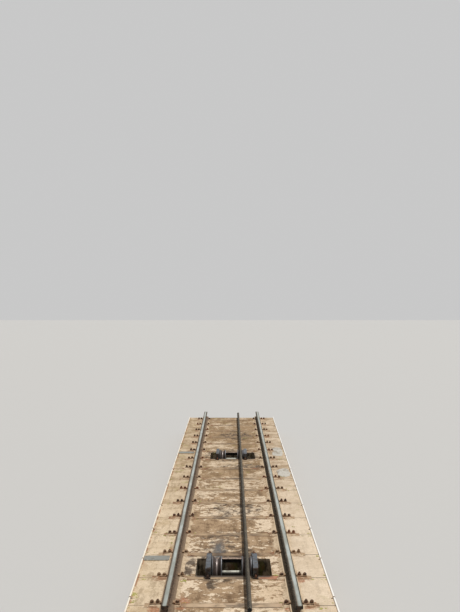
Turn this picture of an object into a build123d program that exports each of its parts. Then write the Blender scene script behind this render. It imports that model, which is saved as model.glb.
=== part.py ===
from build123d import *

import math
import os

# A straight twelve-metre section of metre-class funicular railway track. A cast concrete bed holds
# rolled steel sleepers flush with its top. Two flat-bottom rails are clipped to them, and the haul
# rope runs on grooved sheaves that turn in two pits. Sections join end to end.
# The frame is +X to the right, +Y up the line and +Z up. The origin is at mid-length on the gauge
# centre line, on the underside of the bed. All sizes are in millimetres.

# Layout of the section
gauge = 1067.0
sleeper_pitch = 750.0
sleeper_count = 16
station_sleepers = (1, 9)

# Concrete bed
bed_width = 1860.0
bed_thickness = 360.0

# Sheave pits
pit_width = 750.0
pit_length = 555.0
pit_depth = 280.0
pit_shift = 18.0
pit_setback = 10.0

# Steel sleepers, rolled H section
sleeper_length = 1540.0
sleeper_width = 100.0
sleeper_depth = 100.0
sleeper_flange = 8.0
sleeper_web = 6.0

# Flat-bottom rails of about 37 kg/m
rail_height = 122.24
rail_head_width = 62.71
rail_head_depth = 36.12
rail_foot_width = 122.24
rail_foot_depth = 21.43
rail_web = 13.49
rail_slope = 0.25
rail_crown_radius = 304.8
rail_head_corner = 8.0
rail_web_fillet = 12.0
rail_foot_corner = 2.5

# Fishplate holes at the rail ends
fish_hole_diameter = 26.0
fish_hole_first = 60.0
fish_hole_spacing = 110.0

# Rail fastenings
base_plate_thickness = 10.0
base_plate_length = 94.0
base_plate_outer_reach = 165.0
base_plate_inner_reach = 118.0
clip_length = 56.0
clip_outer_reach = 152.0
clip_inner_reach = 108.0
clip_lap = 18.0
clip_heel_height = 15.0
clip_nose_height = 13.0
clip_gap = 0.3

# Haul rope
rope_diameter = 44.0

# Rope sheaves
sheave_offset = 148.0
sheave_diameter = 340.0
sheave_width = 100.0
sheave_tread_diameter = 284.0
sheave_groove_floor = 28.0
sheave_lip = 11.0
sheave_rim_inner_diameter = 228.0
sheave_web = 18.0
sheave_hub_diameter = 100.0
rope_seat_gap = 0.3

# Sheave shafts and what locates them
shaft_diameter = 50.0
shaft_depth = 72.0
shaft_overhang = 30.0
shaft_running_gap = 0.05
hub_end_gap = 0.5
spacer_wall = 6.0
spacer_bore_gap = 0.2
keeper_thickness = 8.0
keeper_width = 96.0
keeper_height = 34.0
keeper_bite = 7.0
keeper_gap = 0.3

# Side frames that carry the shafts
frame_clearance = 7.0
frame_plate = 12.0
frame_flange_width = 50.0
frame_flange = 10.0
frame_height = 96.0
frame_start = -15.0
frame_top_length = 475.0
frame_slope_length = 185.0
frame_foot_near = 35.0
frame_foot_far = 135.0
frame_hanger_span = 370.0
frame_hanger_radius = 58.0
frame_boss_diameter = 92.0
frame_bore_gap = 0.2

# Cross tie between the side frames
tie_leg = 50.0
tie_thickness = 6.0
tie_inset = 12.0

# Edge conduits
conduit_diameter = 16.0
conduit_inset = 4.0

# Blank number plates beside the pits
number_plate_width = 262.0
number_plate_length = 150.0
number_plate_thickness = 6.0
number_plate_corner = 12.0
number_plate_gap = 4.0
number_plate_setback = 66.0

# Places that follow from the sizes above
section_length = sleeper_pitch * sleeper_count
half_length = section_length / 2
bed_top = bed_thickness
rail_base = bed_top + base_plate_thickness
rail_offset = gauge / 2 + rail_head_width / 2
shaft_z = bed_top - shaft_depth
rope_z = shaft_z + sheave_tread_diameter / 2 + rope_seat_gap + rope_diameter / 2
sheave_outer_face = sheave_offset + sheave_width / 2
sheave_inner_face = sheave_offset - sheave_width / 2
frame_inner_face = sheave_outer_face + frame_clearance
frame_outer_face = frame_inner_face + frame_plate
shaft_half_length = frame_outer_face + shaft_overhang
conduit_x = bed_width / 2 - conduit_inset - conduit_diameter / 2
conduit_z = bed_top + conduit_diameter / 2


def sleeper_y(index):
    """Place of a sleeper's centre line along the section."""
    return -half_length + (index + 0.5) * sleeper_pitch


def pit_near_y(index):
    """Place of the near edge of the pit that follows a sleeper."""
    return sleeper_y(index) + sleeper_width / 2 + pit_setback


def shaft_y(index):
    """Place of the sheave shaft, at the middle of the pit that follows a sleeper."""
    return pit_near_y(index) + pit_length / 2


def block(low_x, high_x, low_y, high_y, low_z, high_z):
    """Box between two corners."""
    size = (high_x - low_x, high_y - low_y, high_z - low_z)
    return Pos(low_x, low_y, low_z) * Box(*size, align=(Align.MIN, Align.MIN, Align.MIN))


def rod(diameter, low_x, high_x, y, z):
    """Round bar along X."""
    disc = Plane(origin=(low_x, y, z), x_dir=(0, 1, 0), z_dir=(1, 0, 0)) * Circle(diameter / 2)
    return extrude(disc, high_x - low_x)


def face_of(points):
    """Flat face inside a closed outline of straight lines."""
    return make_face(Polyline(*points, close=True))


def rounded(sketch, points, radius):
    """Sketch with the corners nearest to the given points rounded."""
    corners = [min(sketch.vertices(), key=lambda v: (v.center() - Vector(*p)).length) for p in points]
    return fillet(corners, radius)


def mirrored(shape):
    """Copy of a shape on the other side of the gauge centre line."""
    return mirror(shape, about=Plane.YZ)


# Steel sleepers
def sleeper(index):
    """Rolled H section across the bed, its upper flange flush with the concrete."""
    half = sleeper_width / 2
    web = sleeper_web / 2
    low = bed_top - sleeper_depth
    outline = [
        (-half, low),
        (half, low),
        (half, low + sleeper_flange),
        (web, low + sleeper_flange),
        (web, bed_top - sleeper_flange),
        (half, bed_top - sleeper_flange),
        (half, bed_top),
        (-half, bed_top),
        (-half, bed_top - sleeper_flange),
        (-web, bed_top - sleeper_flange),
        (-web, low + sleeper_flange),
        (-half, low + sleeper_flange),
    ]
    section = Plane.YZ * face_of(outline)
    return Pos(0, sleeper_y(index), 0) * extrude(section, sleeper_length / 2, both=True)


# Concrete bed, cast in bays that meet on sleeper centre lines
def pit_cut(index):
    """Open space of a sheave pit."""
    near = pit_near_y(index)
    return block(
        pit_shift - pit_width / 2,
        pit_shift + pit_width / 2,
        near,
        near + pit_length,
        bed_top - pit_depth,
        bed_top,
    )


def bed_bay(low_y, high_y):
    """One cast length of the bed, with its sleepers' seats and its pits cut out."""
    bay = block(-bed_width / 2, bed_width / 2, low_y, high_y, 0, bed_thickness)
    for index in range(sleeper_count):
        if low_y - sleeper_width <= sleeper_y(index) <= high_y + sleeper_width:
            bay = bay - sleeper(index)
    for index in station_sleepers:
        if low_y <= sleeper_y(index) < high_y:
            bay = bay - pit_cut(index)
    return bay


# Rails
def rail_section():
    """Flat-bottom rail section in X and Z, standing on Z = 0."""
    half_head = rail_head_width / 2
    half_foot = rail_foot_width / 2
    half_web = rail_web / 2
    head_root = rail_height - rail_head_depth
    crown_drop = rail_crown_radius - math.sqrt(rail_crown_radius**2 - half_head**2)
    right = [
        (half_foot, 0),
        (half_foot, rail_foot_depth - rail_slope * (half_foot - half_web)),
        (half_web, rail_foot_depth),
        (half_web, head_root),
        (half_head, head_root + rail_slope * (half_head - half_web)),
        (half_head, rail_height - crown_drop),
    ]
    left = [(-x, z) for x, z in reversed(right)]
    crown = ThreePointArc(right[-1], (0, rail_height), left[0])
    section = make_face([Polyline(*left, *right), crown])
    both_sides = [(side * x, z) for side in (-1, 1) for x, z in (right[2], right[3])]
    section = rounded(section, both_sides, rail_web_fillet)
    section = rounded(section, [right[-1], left[0]], rail_head_corner)
    return rounded(section, [right[1], left[-2]], rail_foot_corner)


def fish_hole_places():
    """Places along the section of the fishplate holes at both ends."""
    first = half_length - fish_hole_first
    second = first - fish_hole_spacing
    return [-first, -second, second, first]


def rail():
    """Right-hand rail, with fishplate holes through its web at both ends."""
    section = Plane.XZ * rail_section()
    bar = Pos(rail_offset, 0, rail_base) * extrude(section, half_length, both=True)
    hole_z = rail_base + (rail_foot_depth + rail_height - rail_head_depth) / 2
    low_x = rail_offset - rail_head_width
    high_x = rail_offset + rail_head_width
    for place in fish_hole_places():
        bar = bar - rod(fish_hole_diameter, low_x, high_x, place, hole_z)
    return bar


# Rail fastenings
def base_plate(index):
    """Plate between the right-hand rail and a sleeper."""
    middle = sleeper_y(index)
    return block(
        rail_offset - base_plate_inner_reach,
        rail_offset + base_plate_outer_reach,
        middle - base_plate_length / 2,
        middle + base_plate_length / 2,
        bed_top,
        rail_base,
    )


def clip_section(reach):
    """Clip section, with its nose on the sloping foot and its heel on the base plate."""
    edge = rail_foot_width / 2
    nose = edge - clip_lap
    edge_z = rail_foot_depth - rail_slope * (edge - rail_web / 2)
    edge_lift = edge_z + clip_gap
    nose_lift = edge_lift + rail_slope * clip_lap
    shoulder = nose_lift + clip_nose_height
    return face_of(
        [
            (nose, nose_lift),
            (edge + clip_gap, edge_lift),
            (edge + clip_gap, 0),
            (reach, 0),
            (reach, clip_heel_height),
            (edge + clip_lap, shoulder),
            (nose, shoulder),
        ]
    )


def clip_pair(index):
    """Outer and inner clip of the right-hand rail at a sleeper."""
    outer = extrude(Plane.XZ * clip_section(clip_outer_reach), clip_length / 2, both=True)
    inner = extrude(Plane.XZ * clip_section(clip_inner_reach), clip_length / 2, both=True)
    seat = Pos(rail_offset, sleeper_y(index), rail_base)
    return [seat * outer, seat * mirror(inner, about=Plane.YZ)]


# Rope sheaves
def sheave_section():
    """Half section of a sheave: x is the distance along the shaft, y the radius."""
    half_width = sheave_width / 2
    tread = sheave_tread_diameter / 2
    rim = sheave_diameter / 2
    rim_inner = sheave_rim_inner_diameter / 2
    half_web = sheave_web / 2
    hub = sheave_hub_diameter / 2
    bore = shaft_diameter / 2 + shaft_running_gap
    right = [
        (sheave_groove_floor / 2, tread),
        (half_width - sheave_lip, rim),
        (half_width, rim),
        (half_width, rim_inner),
        (half_web, rim_inner),
        (half_web, hub),
        (half_width, hub),
        (half_width, bore),
    ]
    left = [(-x, r) for x, r in reversed(right)]
    return face_of([*right, *left])


def sheave(side, index):
    """Grooved sheave with a rim, a web and a hub that runs on the shaft."""
    wheel = revolve(sheave_section(), Axis.X)
    return Pos(side * sheave_offset, shaft_y(index), shaft_z) * wheel


# Shaft and what locates it
def shaft(index):
    """Fixed shaft through both side frames, with a slot for a keeper at each end."""
    bar = rod(shaft_diameter, -shaft_half_length, shaft_half_length, shaft_y(index), shaft_z)
    slot = block(
        frame_outer_face,
        frame_outer_face + keeper_thickness + keeper_gap,
        shaft_y(index) - shaft_diameter,
        shaft_y(index) + shaft_diameter,
        shaft_z + shaft_diameter / 2 - keeper_bite,
        shaft_z + shaft_diameter,
    )
    return bar - slot - mirrored(slot)


def keepers(index):
    """Keeper plates that lie in the shaft's slots and stop it from turning."""
    low_z = shaft_z + shaft_diameter / 2 - keeper_bite + keeper_gap
    plate = block(
        frame_outer_face,
        frame_outer_face + keeper_thickness,
        shaft_y(index) - keeper_width / 2,
        shaft_y(index) + keeper_width / 2,
        low_z,
        low_z + keeper_height,
    )
    return [plate, mirrored(plate)]


def spacer(index):
    """Tube on the shaft between the two sheaves."""
    reach = sheave_inner_face - hub_end_gap
    bore = shaft_diameter + 2 * spacer_bore_gap
    tube = rod(bore + 2 * spacer_wall, -reach, reach, shaft_y(index), shaft_z)
    return tube - rod(bore, -reach, reach, shaft_y(index), shaft_z)


# Side frames
def side_frame(index):
    """Right-hand frame: a bent top flange on two feet, and a plate that hangs down to the shaft."""
    near = sleeper_y(index) + frame_start
    top_end = near + frame_top_length
    slope_end = top_end + frame_slope_length
    top = bed_top + frame_height
    route = Polyline(
        (near - frame_foot_near, bed_top),
        (near + frame_flange, bed_top),
        (near + frame_flange, top - frame_flange),
        (top_end, top - frame_flange),
        (slope_end, bed_top),
        (slope_end + frame_foot_far, bed_top),
    )
    strip = make_face(offset(route, frame_flange, kind=Kind.INTERSECTION, side=Side.LEFT))
    web = face_of(
        [
            (near + frame_flange, bed_top),
            (near + frame_flange, top - frame_flange),
            (top_end, top - frame_flange),
            (slope_end, bed_top),
        ]
    )
    centre = shaft_y(index)
    hanger_top = Line(
        (centre - frame_hanger_span / 2, bed_top), (centre + frame_hanger_span / 2, bed_top)
    )
    ring = Pos(centre, shaft_z) * Circle(frame_hanger_radius)
    hanger = make_hull([hanger_top, *ring.edges()])
    side = Plane(origin=(frame_inner_face, 0, 0), x_dir=(0, 1, 0), z_dir=(1, 0, 0))
    flange = extrude(side * strip, frame_flange_width)
    plate = extrude(side * (web + hanger), frame_plate)
    boss_face = sheave_outer_face + hub_end_gap
    boss = rod(frame_boss_diameter, boss_face, frame_inner_face, centre, shaft_z)
    bore = rod(shaft_diameter + 2 * frame_bore_gap, boss_face, frame_outer_face, centre, shaft_z)
    return flange + plate + boss - bore


def cross_tie(index):
    """Angle that ties the two side frames together at the far end of the pit."""
    high_y = pit_near_y(index) + pit_length - tie_inset
    low_y = high_y - tie_leg
    top = bed_top + frame_flange
    leg = block(-frame_inner_face, frame_inner_face, low_y, high_y, top - tie_thickness, top)
    wall = block(
        -frame_inner_face, frame_inner_face, high_y - tie_thickness, high_y, top - tie_leg, top
    )
    return leg + wall


# Haul rope
def haul_rope():
    """Rope along the whole section, seated on the right-hand sheaves."""
    disc = Plane.XZ * Circle(rope_diameter / 2)
    return Pos(sheave_offset, 0, rope_z) * extrude(disc, half_length, both=True)


# Edge conduits
def conduit():
    """Right-hand conduit along the edge of the bed."""
    disc = Plane.XZ * Circle(conduit_diameter / 2)
    return Pos(conduit_x, 0, conduit_z) * extrude(disc, half_length, both=True)


# Number plates
def number_plate(index):
    """Blank plate on the bed, beside the left-hand rail and before the sleeper after the pit."""
    sketch = Rectangle(number_plate_width, number_plate_length)
    sketch = chamfer(sketch.vertices(), number_plate_corner)
    outer_edge = conduit_x - conduit_diameter / 2 - number_plate_gap
    centre_x = -(outer_edge - number_plate_width / 2)
    centre_y = sleeper_y(index + 1) - number_plate_setback - number_plate_length / 2
    return Pos(centre_x, centre_y, bed_top) * extrude(sketch, number_plate_thickness)


nodes = {}

bay_edges = [-half_length]
for station in station_sleepers:
    bay_edges += [sleeper_y(station), sleeper_y(station + 1)]
bay_edges.append(half_length)
bay_names = ["bed_near", "bed_pit_1", "bed_middle", "bed_pit_2", "bed_far"]
for name, low, high in zip(bay_names, bay_edges, bay_edges[1:]):
    nodes[name] = [bed_bay(low, high)]

all_sleepers = range(sleeper_count)
nodes["sleepers"] = [sleeper(index) for index in all_sleepers]
nodes["rail_right"] = [rail()]
nodes["base_plates_right"] = [base_plate(index) for index in all_sleepers]
nodes["rail_clips_right"] = [clip for index in all_sleepers for clip in clip_pair(index)]
nodes["edge_conduit_right"] = [conduit()]
for name in [name for name in nodes if name.endswith("_right")]:
    nodes[name.replace("_right", "_left")] = [mirrored(piece) for piece in nodes[name]]
nodes["haul_rope"] = [haul_rope()]

for number, index in enumerate(station_sleepers, start=1):
    frame = side_frame(index)
    nodes[f"side_frame_right_{number}"] = [frame]
    nodes[f"side_frame_left_{number}"] = [mirrored(frame)]
    nodes[f"cross_tie_{number}"] = [cross_tie(index)]
    nodes[f"sheave_shaft_{number}"] = [shaft(index)]
    nodes[f"shaft_keepers_{number}"] = keepers(index)
    nodes[f"spacer_tube_{number}"] = [spacer(index)]
    nodes[f"sheave_right_{number}"] = [sheave(1, index)]
    nodes[f"sheave_left_{number}"] = [sheave(-1, index)]
    nodes[f"number_plate_{number}"] = [number_plate(index)]

os.makedirs("parts", exist_ok=True)
for name, pieces in nodes.items():
    solids = [solid for piece in pieces for solid in piece.solids()]
    export_step(Compound(children=solids) if len(solids) > 1 else solids[0], f"parts/{name}.step")
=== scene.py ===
"""Visual model of a straight funicular track section with two rope sheave stations.

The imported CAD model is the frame: +X to the right, +Y up the line and +Z up, in metres. The classes
below dress its nodes or replace them with finer meshes, and nothing leaves its box.
"""

from __future__ import annotations

import logging
import math
import random
from dataclasses import dataclass, field
from enum import Enum
from functools import reduce
from typing import Iterable, Sequence, Union

import bmesh
import bpy
import numpy as np
from mathutils import Matrix, Vector, noise


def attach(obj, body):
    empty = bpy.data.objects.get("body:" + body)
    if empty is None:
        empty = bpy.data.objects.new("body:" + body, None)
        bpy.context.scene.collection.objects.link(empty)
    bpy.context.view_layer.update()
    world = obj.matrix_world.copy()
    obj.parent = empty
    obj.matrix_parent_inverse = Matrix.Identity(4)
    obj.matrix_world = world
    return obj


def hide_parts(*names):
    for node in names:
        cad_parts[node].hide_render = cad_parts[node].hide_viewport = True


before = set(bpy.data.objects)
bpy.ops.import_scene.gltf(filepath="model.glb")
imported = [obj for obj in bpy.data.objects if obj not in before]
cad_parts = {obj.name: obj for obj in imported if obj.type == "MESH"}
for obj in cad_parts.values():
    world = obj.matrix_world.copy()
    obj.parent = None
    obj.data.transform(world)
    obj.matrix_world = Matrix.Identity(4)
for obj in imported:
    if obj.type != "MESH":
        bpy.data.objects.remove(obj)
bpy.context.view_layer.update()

log = logging.getLogger("track_section")

Material = bpy.types.Material
Cell = tuple[int, int]
Pair = tuple[float, float]
Point = tuple[float, float, float]
Colour = tuple[float, float, float]
MM = 0.001
SAME = 1e-6
TRACK = "track"

# Places shared with the CAD model
BED_TOP = 0.360
HALF_LENGTH = 6.0
HALF_WIDTH = 0.930
SLEEPER_PITCH = 0.750
SLEEPER_COUNT = 16
FIRST_SLEEPER = -5.625
SLEEPER_HALF_LENGTH = 0.770
SLEEPER_HALF_WIDTH = 0.050
STATIONS = {1: -4.875, 2: 1.125}
PIT_MIDDLE_X = 0.018
PIT_HALF_WIDTH = 0.375
PIT_NEAR = 0.060
PIT_LENGTH = 0.555
PIT_DEPTH = 0.280
PIT_ENDS = tuple(start + PIT_NEAR + part for start in STATIONS.values() for part in (0.0, PIT_LENGTH))
RAIL_X = 0.564855
RAIL_BASE = 0.370
PLATE_HALF_LENGTH = 0.047
SHEAVE_X = 0.148
SHAFT_Z = 0.288
FRAME_INNER = 0.205
FRAME_OUTER = 0.217
ROPE_Z = 0.4523
CONDUIT_X = 0.918


class Axis(Enum):
    """Axis that an outline is stretched along."""

    X = 0
    Y = 1


class Side(Enum):
    """Side of the track as seen looking up the line."""

    LEFT = -1
    RIGHT = 1

    @property
    def word(self) -> str:
        """Lower-case name of the side, as the CAD nodes spell it."""
        return self.name.lower()


def paint(red: int, green: int, blue: int) -> Colour:
    """Linear colour of a display colour.

    Args:
        red: Red from 0 to 255.
        green: Green from 0 to 255.
        blue: Blue from 0 to 255.

    Returns:
        The colour as the shaders want it.
    """
    shares = (red / 255, green / 255, blue / 255)
    return tuple(s / 12.92 if s <= 0.04045 else ((s + 0.055) / 1.055) ** 2.4 for s in shares)


def sleeper_y(index: int) -> float:
    """Centre line of a sleeper."""
    return FIRST_SLEEPER + SLEEPER_PITCH * index


def nearest_sleeper(y: float) -> float:
    """Centre line of the sleeper nearest to a place along the track."""
    index = round((y - FIRST_SLEEPER) / SLEEPER_PITCH)
    return sleeper_y(min(max(index, 0), SLEEPER_COUNT - 1))


def shaft_y(station: int) -> float:
    """Place of a station's sheave shaft along the track."""
    return STATIONS[station] + PIT_NEAR + PIT_LENGTH / 2


def wander(x: float, y: float, z: float, size: float, octaves: int = 4) -> float:
    """Smooth noise that is the same on every run.

    Args:
        x: Place along X in metres.
        y: Place along Y in metres.
        z: Place along Z in metres.
        size: Size of the largest lumps in metres.
        octaves: How many finer layers are added.

    Returns:
        A number that stays within about -1 and 1.
    """
    return noise.fractal(Vector((x, y, z)) / size, 1.0, 2.0, octaves)


# Shader toolkit
class Value:
    """What one socket gives over a surface. Arithmetic on it adds Math nodes."""

    def __init__(self, graph: Graph, socket: bpy.types.NodeSocket) -> None:
        """Wraps an output socket of a graph."""
        self.graph = graph
        self.socket = socket

    def maths(self, operation: str, first: Number, second: Number = 0.0) -> Value:
        """One Math node on two terms."""
        return self.graph.node("ShaderNodeMath", {"operation": operation}, {0: first, 1: second})

    def __add__(self, other: Number) -> Value:
        """Sum."""
        return self.maths("ADD", self, other)

    __radd__ = __add__

    def __sub__(self, other: Number) -> Value:
        """Difference."""
        return self.maths("SUBTRACT", self, other)

    def __rsub__(self, other: Number) -> Value:
        """Difference with the number first."""
        return self.maths("SUBTRACT", other, self)

    def __mul__(self, other: Number) -> Value:
        """Product."""
        return self.maths("MULTIPLY", self, other)

    __rmul__ = __mul__

    def __truediv__(self, other: Number) -> Value:
        """Quotient."""
        return self.maths("DIVIDE", self, other)

    def __pow__(self, other: Number) -> Value:
        """Power."""
        return self.maths("POWER", self, other)

    def __abs__(self) -> Value:
        """Size without its sign."""
        return self.maths("ABSOLUTE", self)

    def most(self, other: Number) -> Value:
        """The larger of two."""
        return self.maths("MAXIMUM", self, other)

    def least(self, other: Number) -> Value:
        """The smaller of two."""
        return self.maths("MINIMUM", self, other)

    def fraction(self) -> Value:
        """What follows the decimal point."""
        return self.maths("FRACT", self)

    def whole(self) -> Value:
        """The whole number at or below it."""
        return self.maths("FLOOR", self)

    def rise(self, low: float, high: float) -> Value:
        """Smooth step from 0 at low to 1 at high."""
        return self.graph.node(
            "ShaderNodeMapRange",
            {"interpolation_type": "SMOOTHSTEP"},
            {"Value": self, "From Min": low, "From Max": high},
        )

    def fall(self, low: float, high: float) -> Value:
        """Smooth step from 1 at low to 0 at high."""
        return 1.0 - self.rise(low, high)


Number = Union[float, Value]


class Graph:
    """A node tree while its nodes are being put together."""

    def __init__(self, tree: bpy.types.NodeTree) -> None:
        """Takes over a tree and empties it."""
        self.tree = tree
        self.tree.nodes.clear()

    def node(
        self,
        kind: str,
        settings: dict[str, object] | None = None,
        inputs: dict[int | str, object] | None = None,
        output: int | str = 0,
    ) -> Value:
        """Adds one node.

        Args:
            kind: Type name of the node.
            settings: Its own settings, set first. The key stops takes a ramp's places and colours.
            inputs: Values or links of its sockets.
            output: The socket that is wanted from it.

        Returns:
            That output, wrapped.
        """
        made = self.tree.nodes.new(kind)
        for key, setting in (settings or {}).items():
            if key == "stops":
                self._set_stops(made.color_ramp, setting)
            else:
                setattr(made, key, setting)
        for key, value in (inputs or {}).items():
            socket = made.inputs[key]
            if isinstance(value, Value):
                self.tree.links.new(value.socket, socket)
            elif socket.type == "RGBA" and len(value) == 3:
                socket.default_value = (*value, 1.0)
            else:
                socket.default_value = value
        return Value(self, made.outputs[output])

    def end(self, shader: Value, kind: str) -> None:
        """Links a shader to the tree's output node."""
        self.tree.links.new(shader.socket, self.tree.nodes.new(kind).inputs[0])

    @staticmethod
    def _set_stops(ramp: bpy.types.ColorRamp, stops: Sequence[tuple[float, Colour]]) -> None:
        """Writes a ramp's places and colours."""
        while len(ramp.elements) < len(stops):
            ramp.elements.new(0.5)
        for element, (place, colour) in zip(ramp.elements, stops):
            element.position = place
            element.color = (*colour, 1.0)


@dataclass(frozen=True)
class Mark:
    """Soft round mark on the bed: its middle, its reach and its strength."""

    x: float
    y: float
    reach_x: float
    reach_y: float
    strength: float = 1.0


class Recipe(Graph):
    """A material while its nodes are being put together, in the object's own coordinates."""

    def __init__(self, name: str) -> None:
        """Starts an empty material."""
        self.material = bpy.data.materials.new(name)
        self.material.use_nodes = True
        super().__init__(self.material.node_tree)
        self.place = self.node("ShaderNodeTexCoord", output="Object")
        split = self.node("ShaderNodeSeparateXYZ", {}, {0: self.place})
        self.x, self.y, self.z = (Value(self, out) for out in split.socket.node.outputs)

    def stretched(self, stretch: Point, shift: float) -> Value:
        """Coordinates stretched and moved, so that two noises don't agree."""
        moved = (shift, shift * 1.7, shift * 2.3)
        places = {"Vector": self.place, "Scale": stretch, "Location": moved}
        return self.node("ShaderNodeMapping", {}, places)

    def noise(
        self,
        scale: float,
        detail: float = 4.0,
        rough: float = 0.55,
        stretch: Point = (1.0, 1.0, 1.0),
        shift: float = 0.0,
        warp: float = 0.0,
    ) -> Value:
        """Cloudy noise.

        Args:
            scale: Lumps to a metre.
            detail: Finer layers.
            rough: How strong the finer layers are.
            stretch: Scale of the coordinates along each axis.
            shift: Moves the pattern.
            warp: How much it folds on itself.

        Returns:
            A number about 0.5, mostly between 0.3 and 0.7.
        """
        values = {"Scale": scale, "Detail": detail, "Roughness": rough, "Distortion": warp}
        values["Vector"] = self.stretched(stretch, shift)
        return self.node("ShaderNodeTexNoise", {}, values)

    def cells(
        self,
        scale: float,
        feature: str = "F1",
        stretch: Point = (1.0, 1.0, 1.0),
        shift: float = 0.0,
        output: str = "Distance",
    ) -> Value:
        """Cell pattern: distance from the nearest seed or edge, or each cell's own colour."""
        values = {"Vector": self.stretched(stretch, shift), "Scale": scale}
        return self.node("ShaderNodeTexVoronoi", {"feature": feature}, values, output)

    def blend(self, low: object, high: object, share: Number) -> Value:
        """Colour that goes from low to high with the share."""
        return self.node("ShaderNodeMix", {"data_type": "RGBA"}, {0: share, 6: low, 7: high}, 2)

    def tint(self, colour: object, other: object, share: Number) -> Value:
        """Colour multiplied with another by the share."""
        kind = {"data_type": "RGBA", "blend_type": "MULTIPLY"}
        return self.node("ShaderNodeMix", kind, {0: share, 6: colour, 7: other}, 2)

    def ramp(self, value: Value, *stops: tuple[float, Colour]) -> Value:
        """Colours at places along a value."""
        return self.node("ShaderNodeValToRGB", {"stops": stops}, {0: value})

    def left(self) -> Value:
        """1 left of the centre line, 0 right of it."""
        return self.x.fall(-0.1, 0.1)

    def right(self) -> Value:
        """1 right of the centre line, 0 left of it."""
        return self.x.rise(-0.1, 0.1)

    def blot(self, mark: Mark) -> Value:
        """A mark's own strength in its middle, 0 past its reach."""
        across = (self.x - mark.x) / mark.reach_x
        along = (self.y - mark.y) / mark.reach_y
        return (across * across + along * along).fall(0.0, 1.0) * mark.strength

    def strongest(self, marks: Sequence[Mark]) -> Value:
        """The strongest of several marks at each place."""
        return reduce(Value.most, map(self.blot, marks))

    def added(self, marks: Sequence[Mark]) -> Value:
        """Several marks added up."""
        return reduce(Value.__add__, map(self.blot, marks))

    def stain(self, torn: Value, marks: Sequence[Mark]) -> Value:
        """Marks with torn edges.

        Args:
            torn: Noise that breaks them up.
            marks: The marks.

        Returns:
            1 where a mark is strong, 0 away from them.
        """
        spread = self.strongest(marks)
        return (spread + (torn - 0.5) * 4.0).rise(0.25, 1.15) * spread.rise(0.0, 0.45)

    def finish(
        self,
        colour: object,
        roughness: Number,
        metallic: Number = 0.0,
        height: Value | None = None,
        relief: float = 1.0 * MM,
        specular: float = 0.5,
    ) -> Material:
        """Ends the material with a shader.

        Args:
            colour: Base colour, one value or a link.
            roughness: Roughness.
            metallic: Metallic share.
            height: Fine relief of the surface, 0 to 1.
            relief: What a height of 1 stands for, in metres.
            specular: How strongly the non-metal part mirrors.

        Returns:
            The finished material.
        """
        inputs = {"Base Color": colour, "Roughness": roughness, "Metallic": metallic}
        inputs["Specular IOR Level"] = specular
        if height is not None:
            bump = {"Height": height, "Distance": relief, "Strength": 1.0}
            inputs["Normal"] = self.node("ShaderNodeBump", {}, bump)
        shader = self.node("ShaderNodeBsdfPrincipled", {}, inputs)
        self.end(shader, "ShaderNodeOutputMaterial")
        return self.material


# Finishes
class Finish:
    """A finish that makes its material once and hands it out after that."""

    made: dict[str, Material] = {}

    def material(self) -> Material:
        """The finish's material."""
        name = repr(self)
        if name not in Finish.made:
            Finish.made[name] = self.mix(Recipe(type(self).__name__))
        return Finish.made[name]

    def mix(self, r: Recipe) -> Material:
        """Puts the finish's nodes together, in each finish by its own recipe.

        Args:
            r: The material being mixed.

        Returns:
            The finished material.
        """
        raise NotImplementedError


def from_sleeper(r: Recipe) -> Value:
    """Distance along the track from the nearest sleeper's centre line."""
    count = (r.y - FIRST_SLEEPER) / SLEEPER_PITCH + 0.5
    return abs(count.fraction() - 0.5) * SLEEPER_PITCH


def past_station(r: Recipe) -> Value:
    """Distance along the track past the near sleeper of the nearest station."""
    pitch = STATIONS[2] - STATIONS[1]
    return r.y - STATIONS[1] - ((r.y - STATIONS[1]) / pitch + 0.1).whole() * pitch


@dataclass(frozen=True)
class Grain:
    """Noises that several stains of the concrete share."""

    cloud: Value
    patch: Value
    fine: Value
    runs: Value


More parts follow.
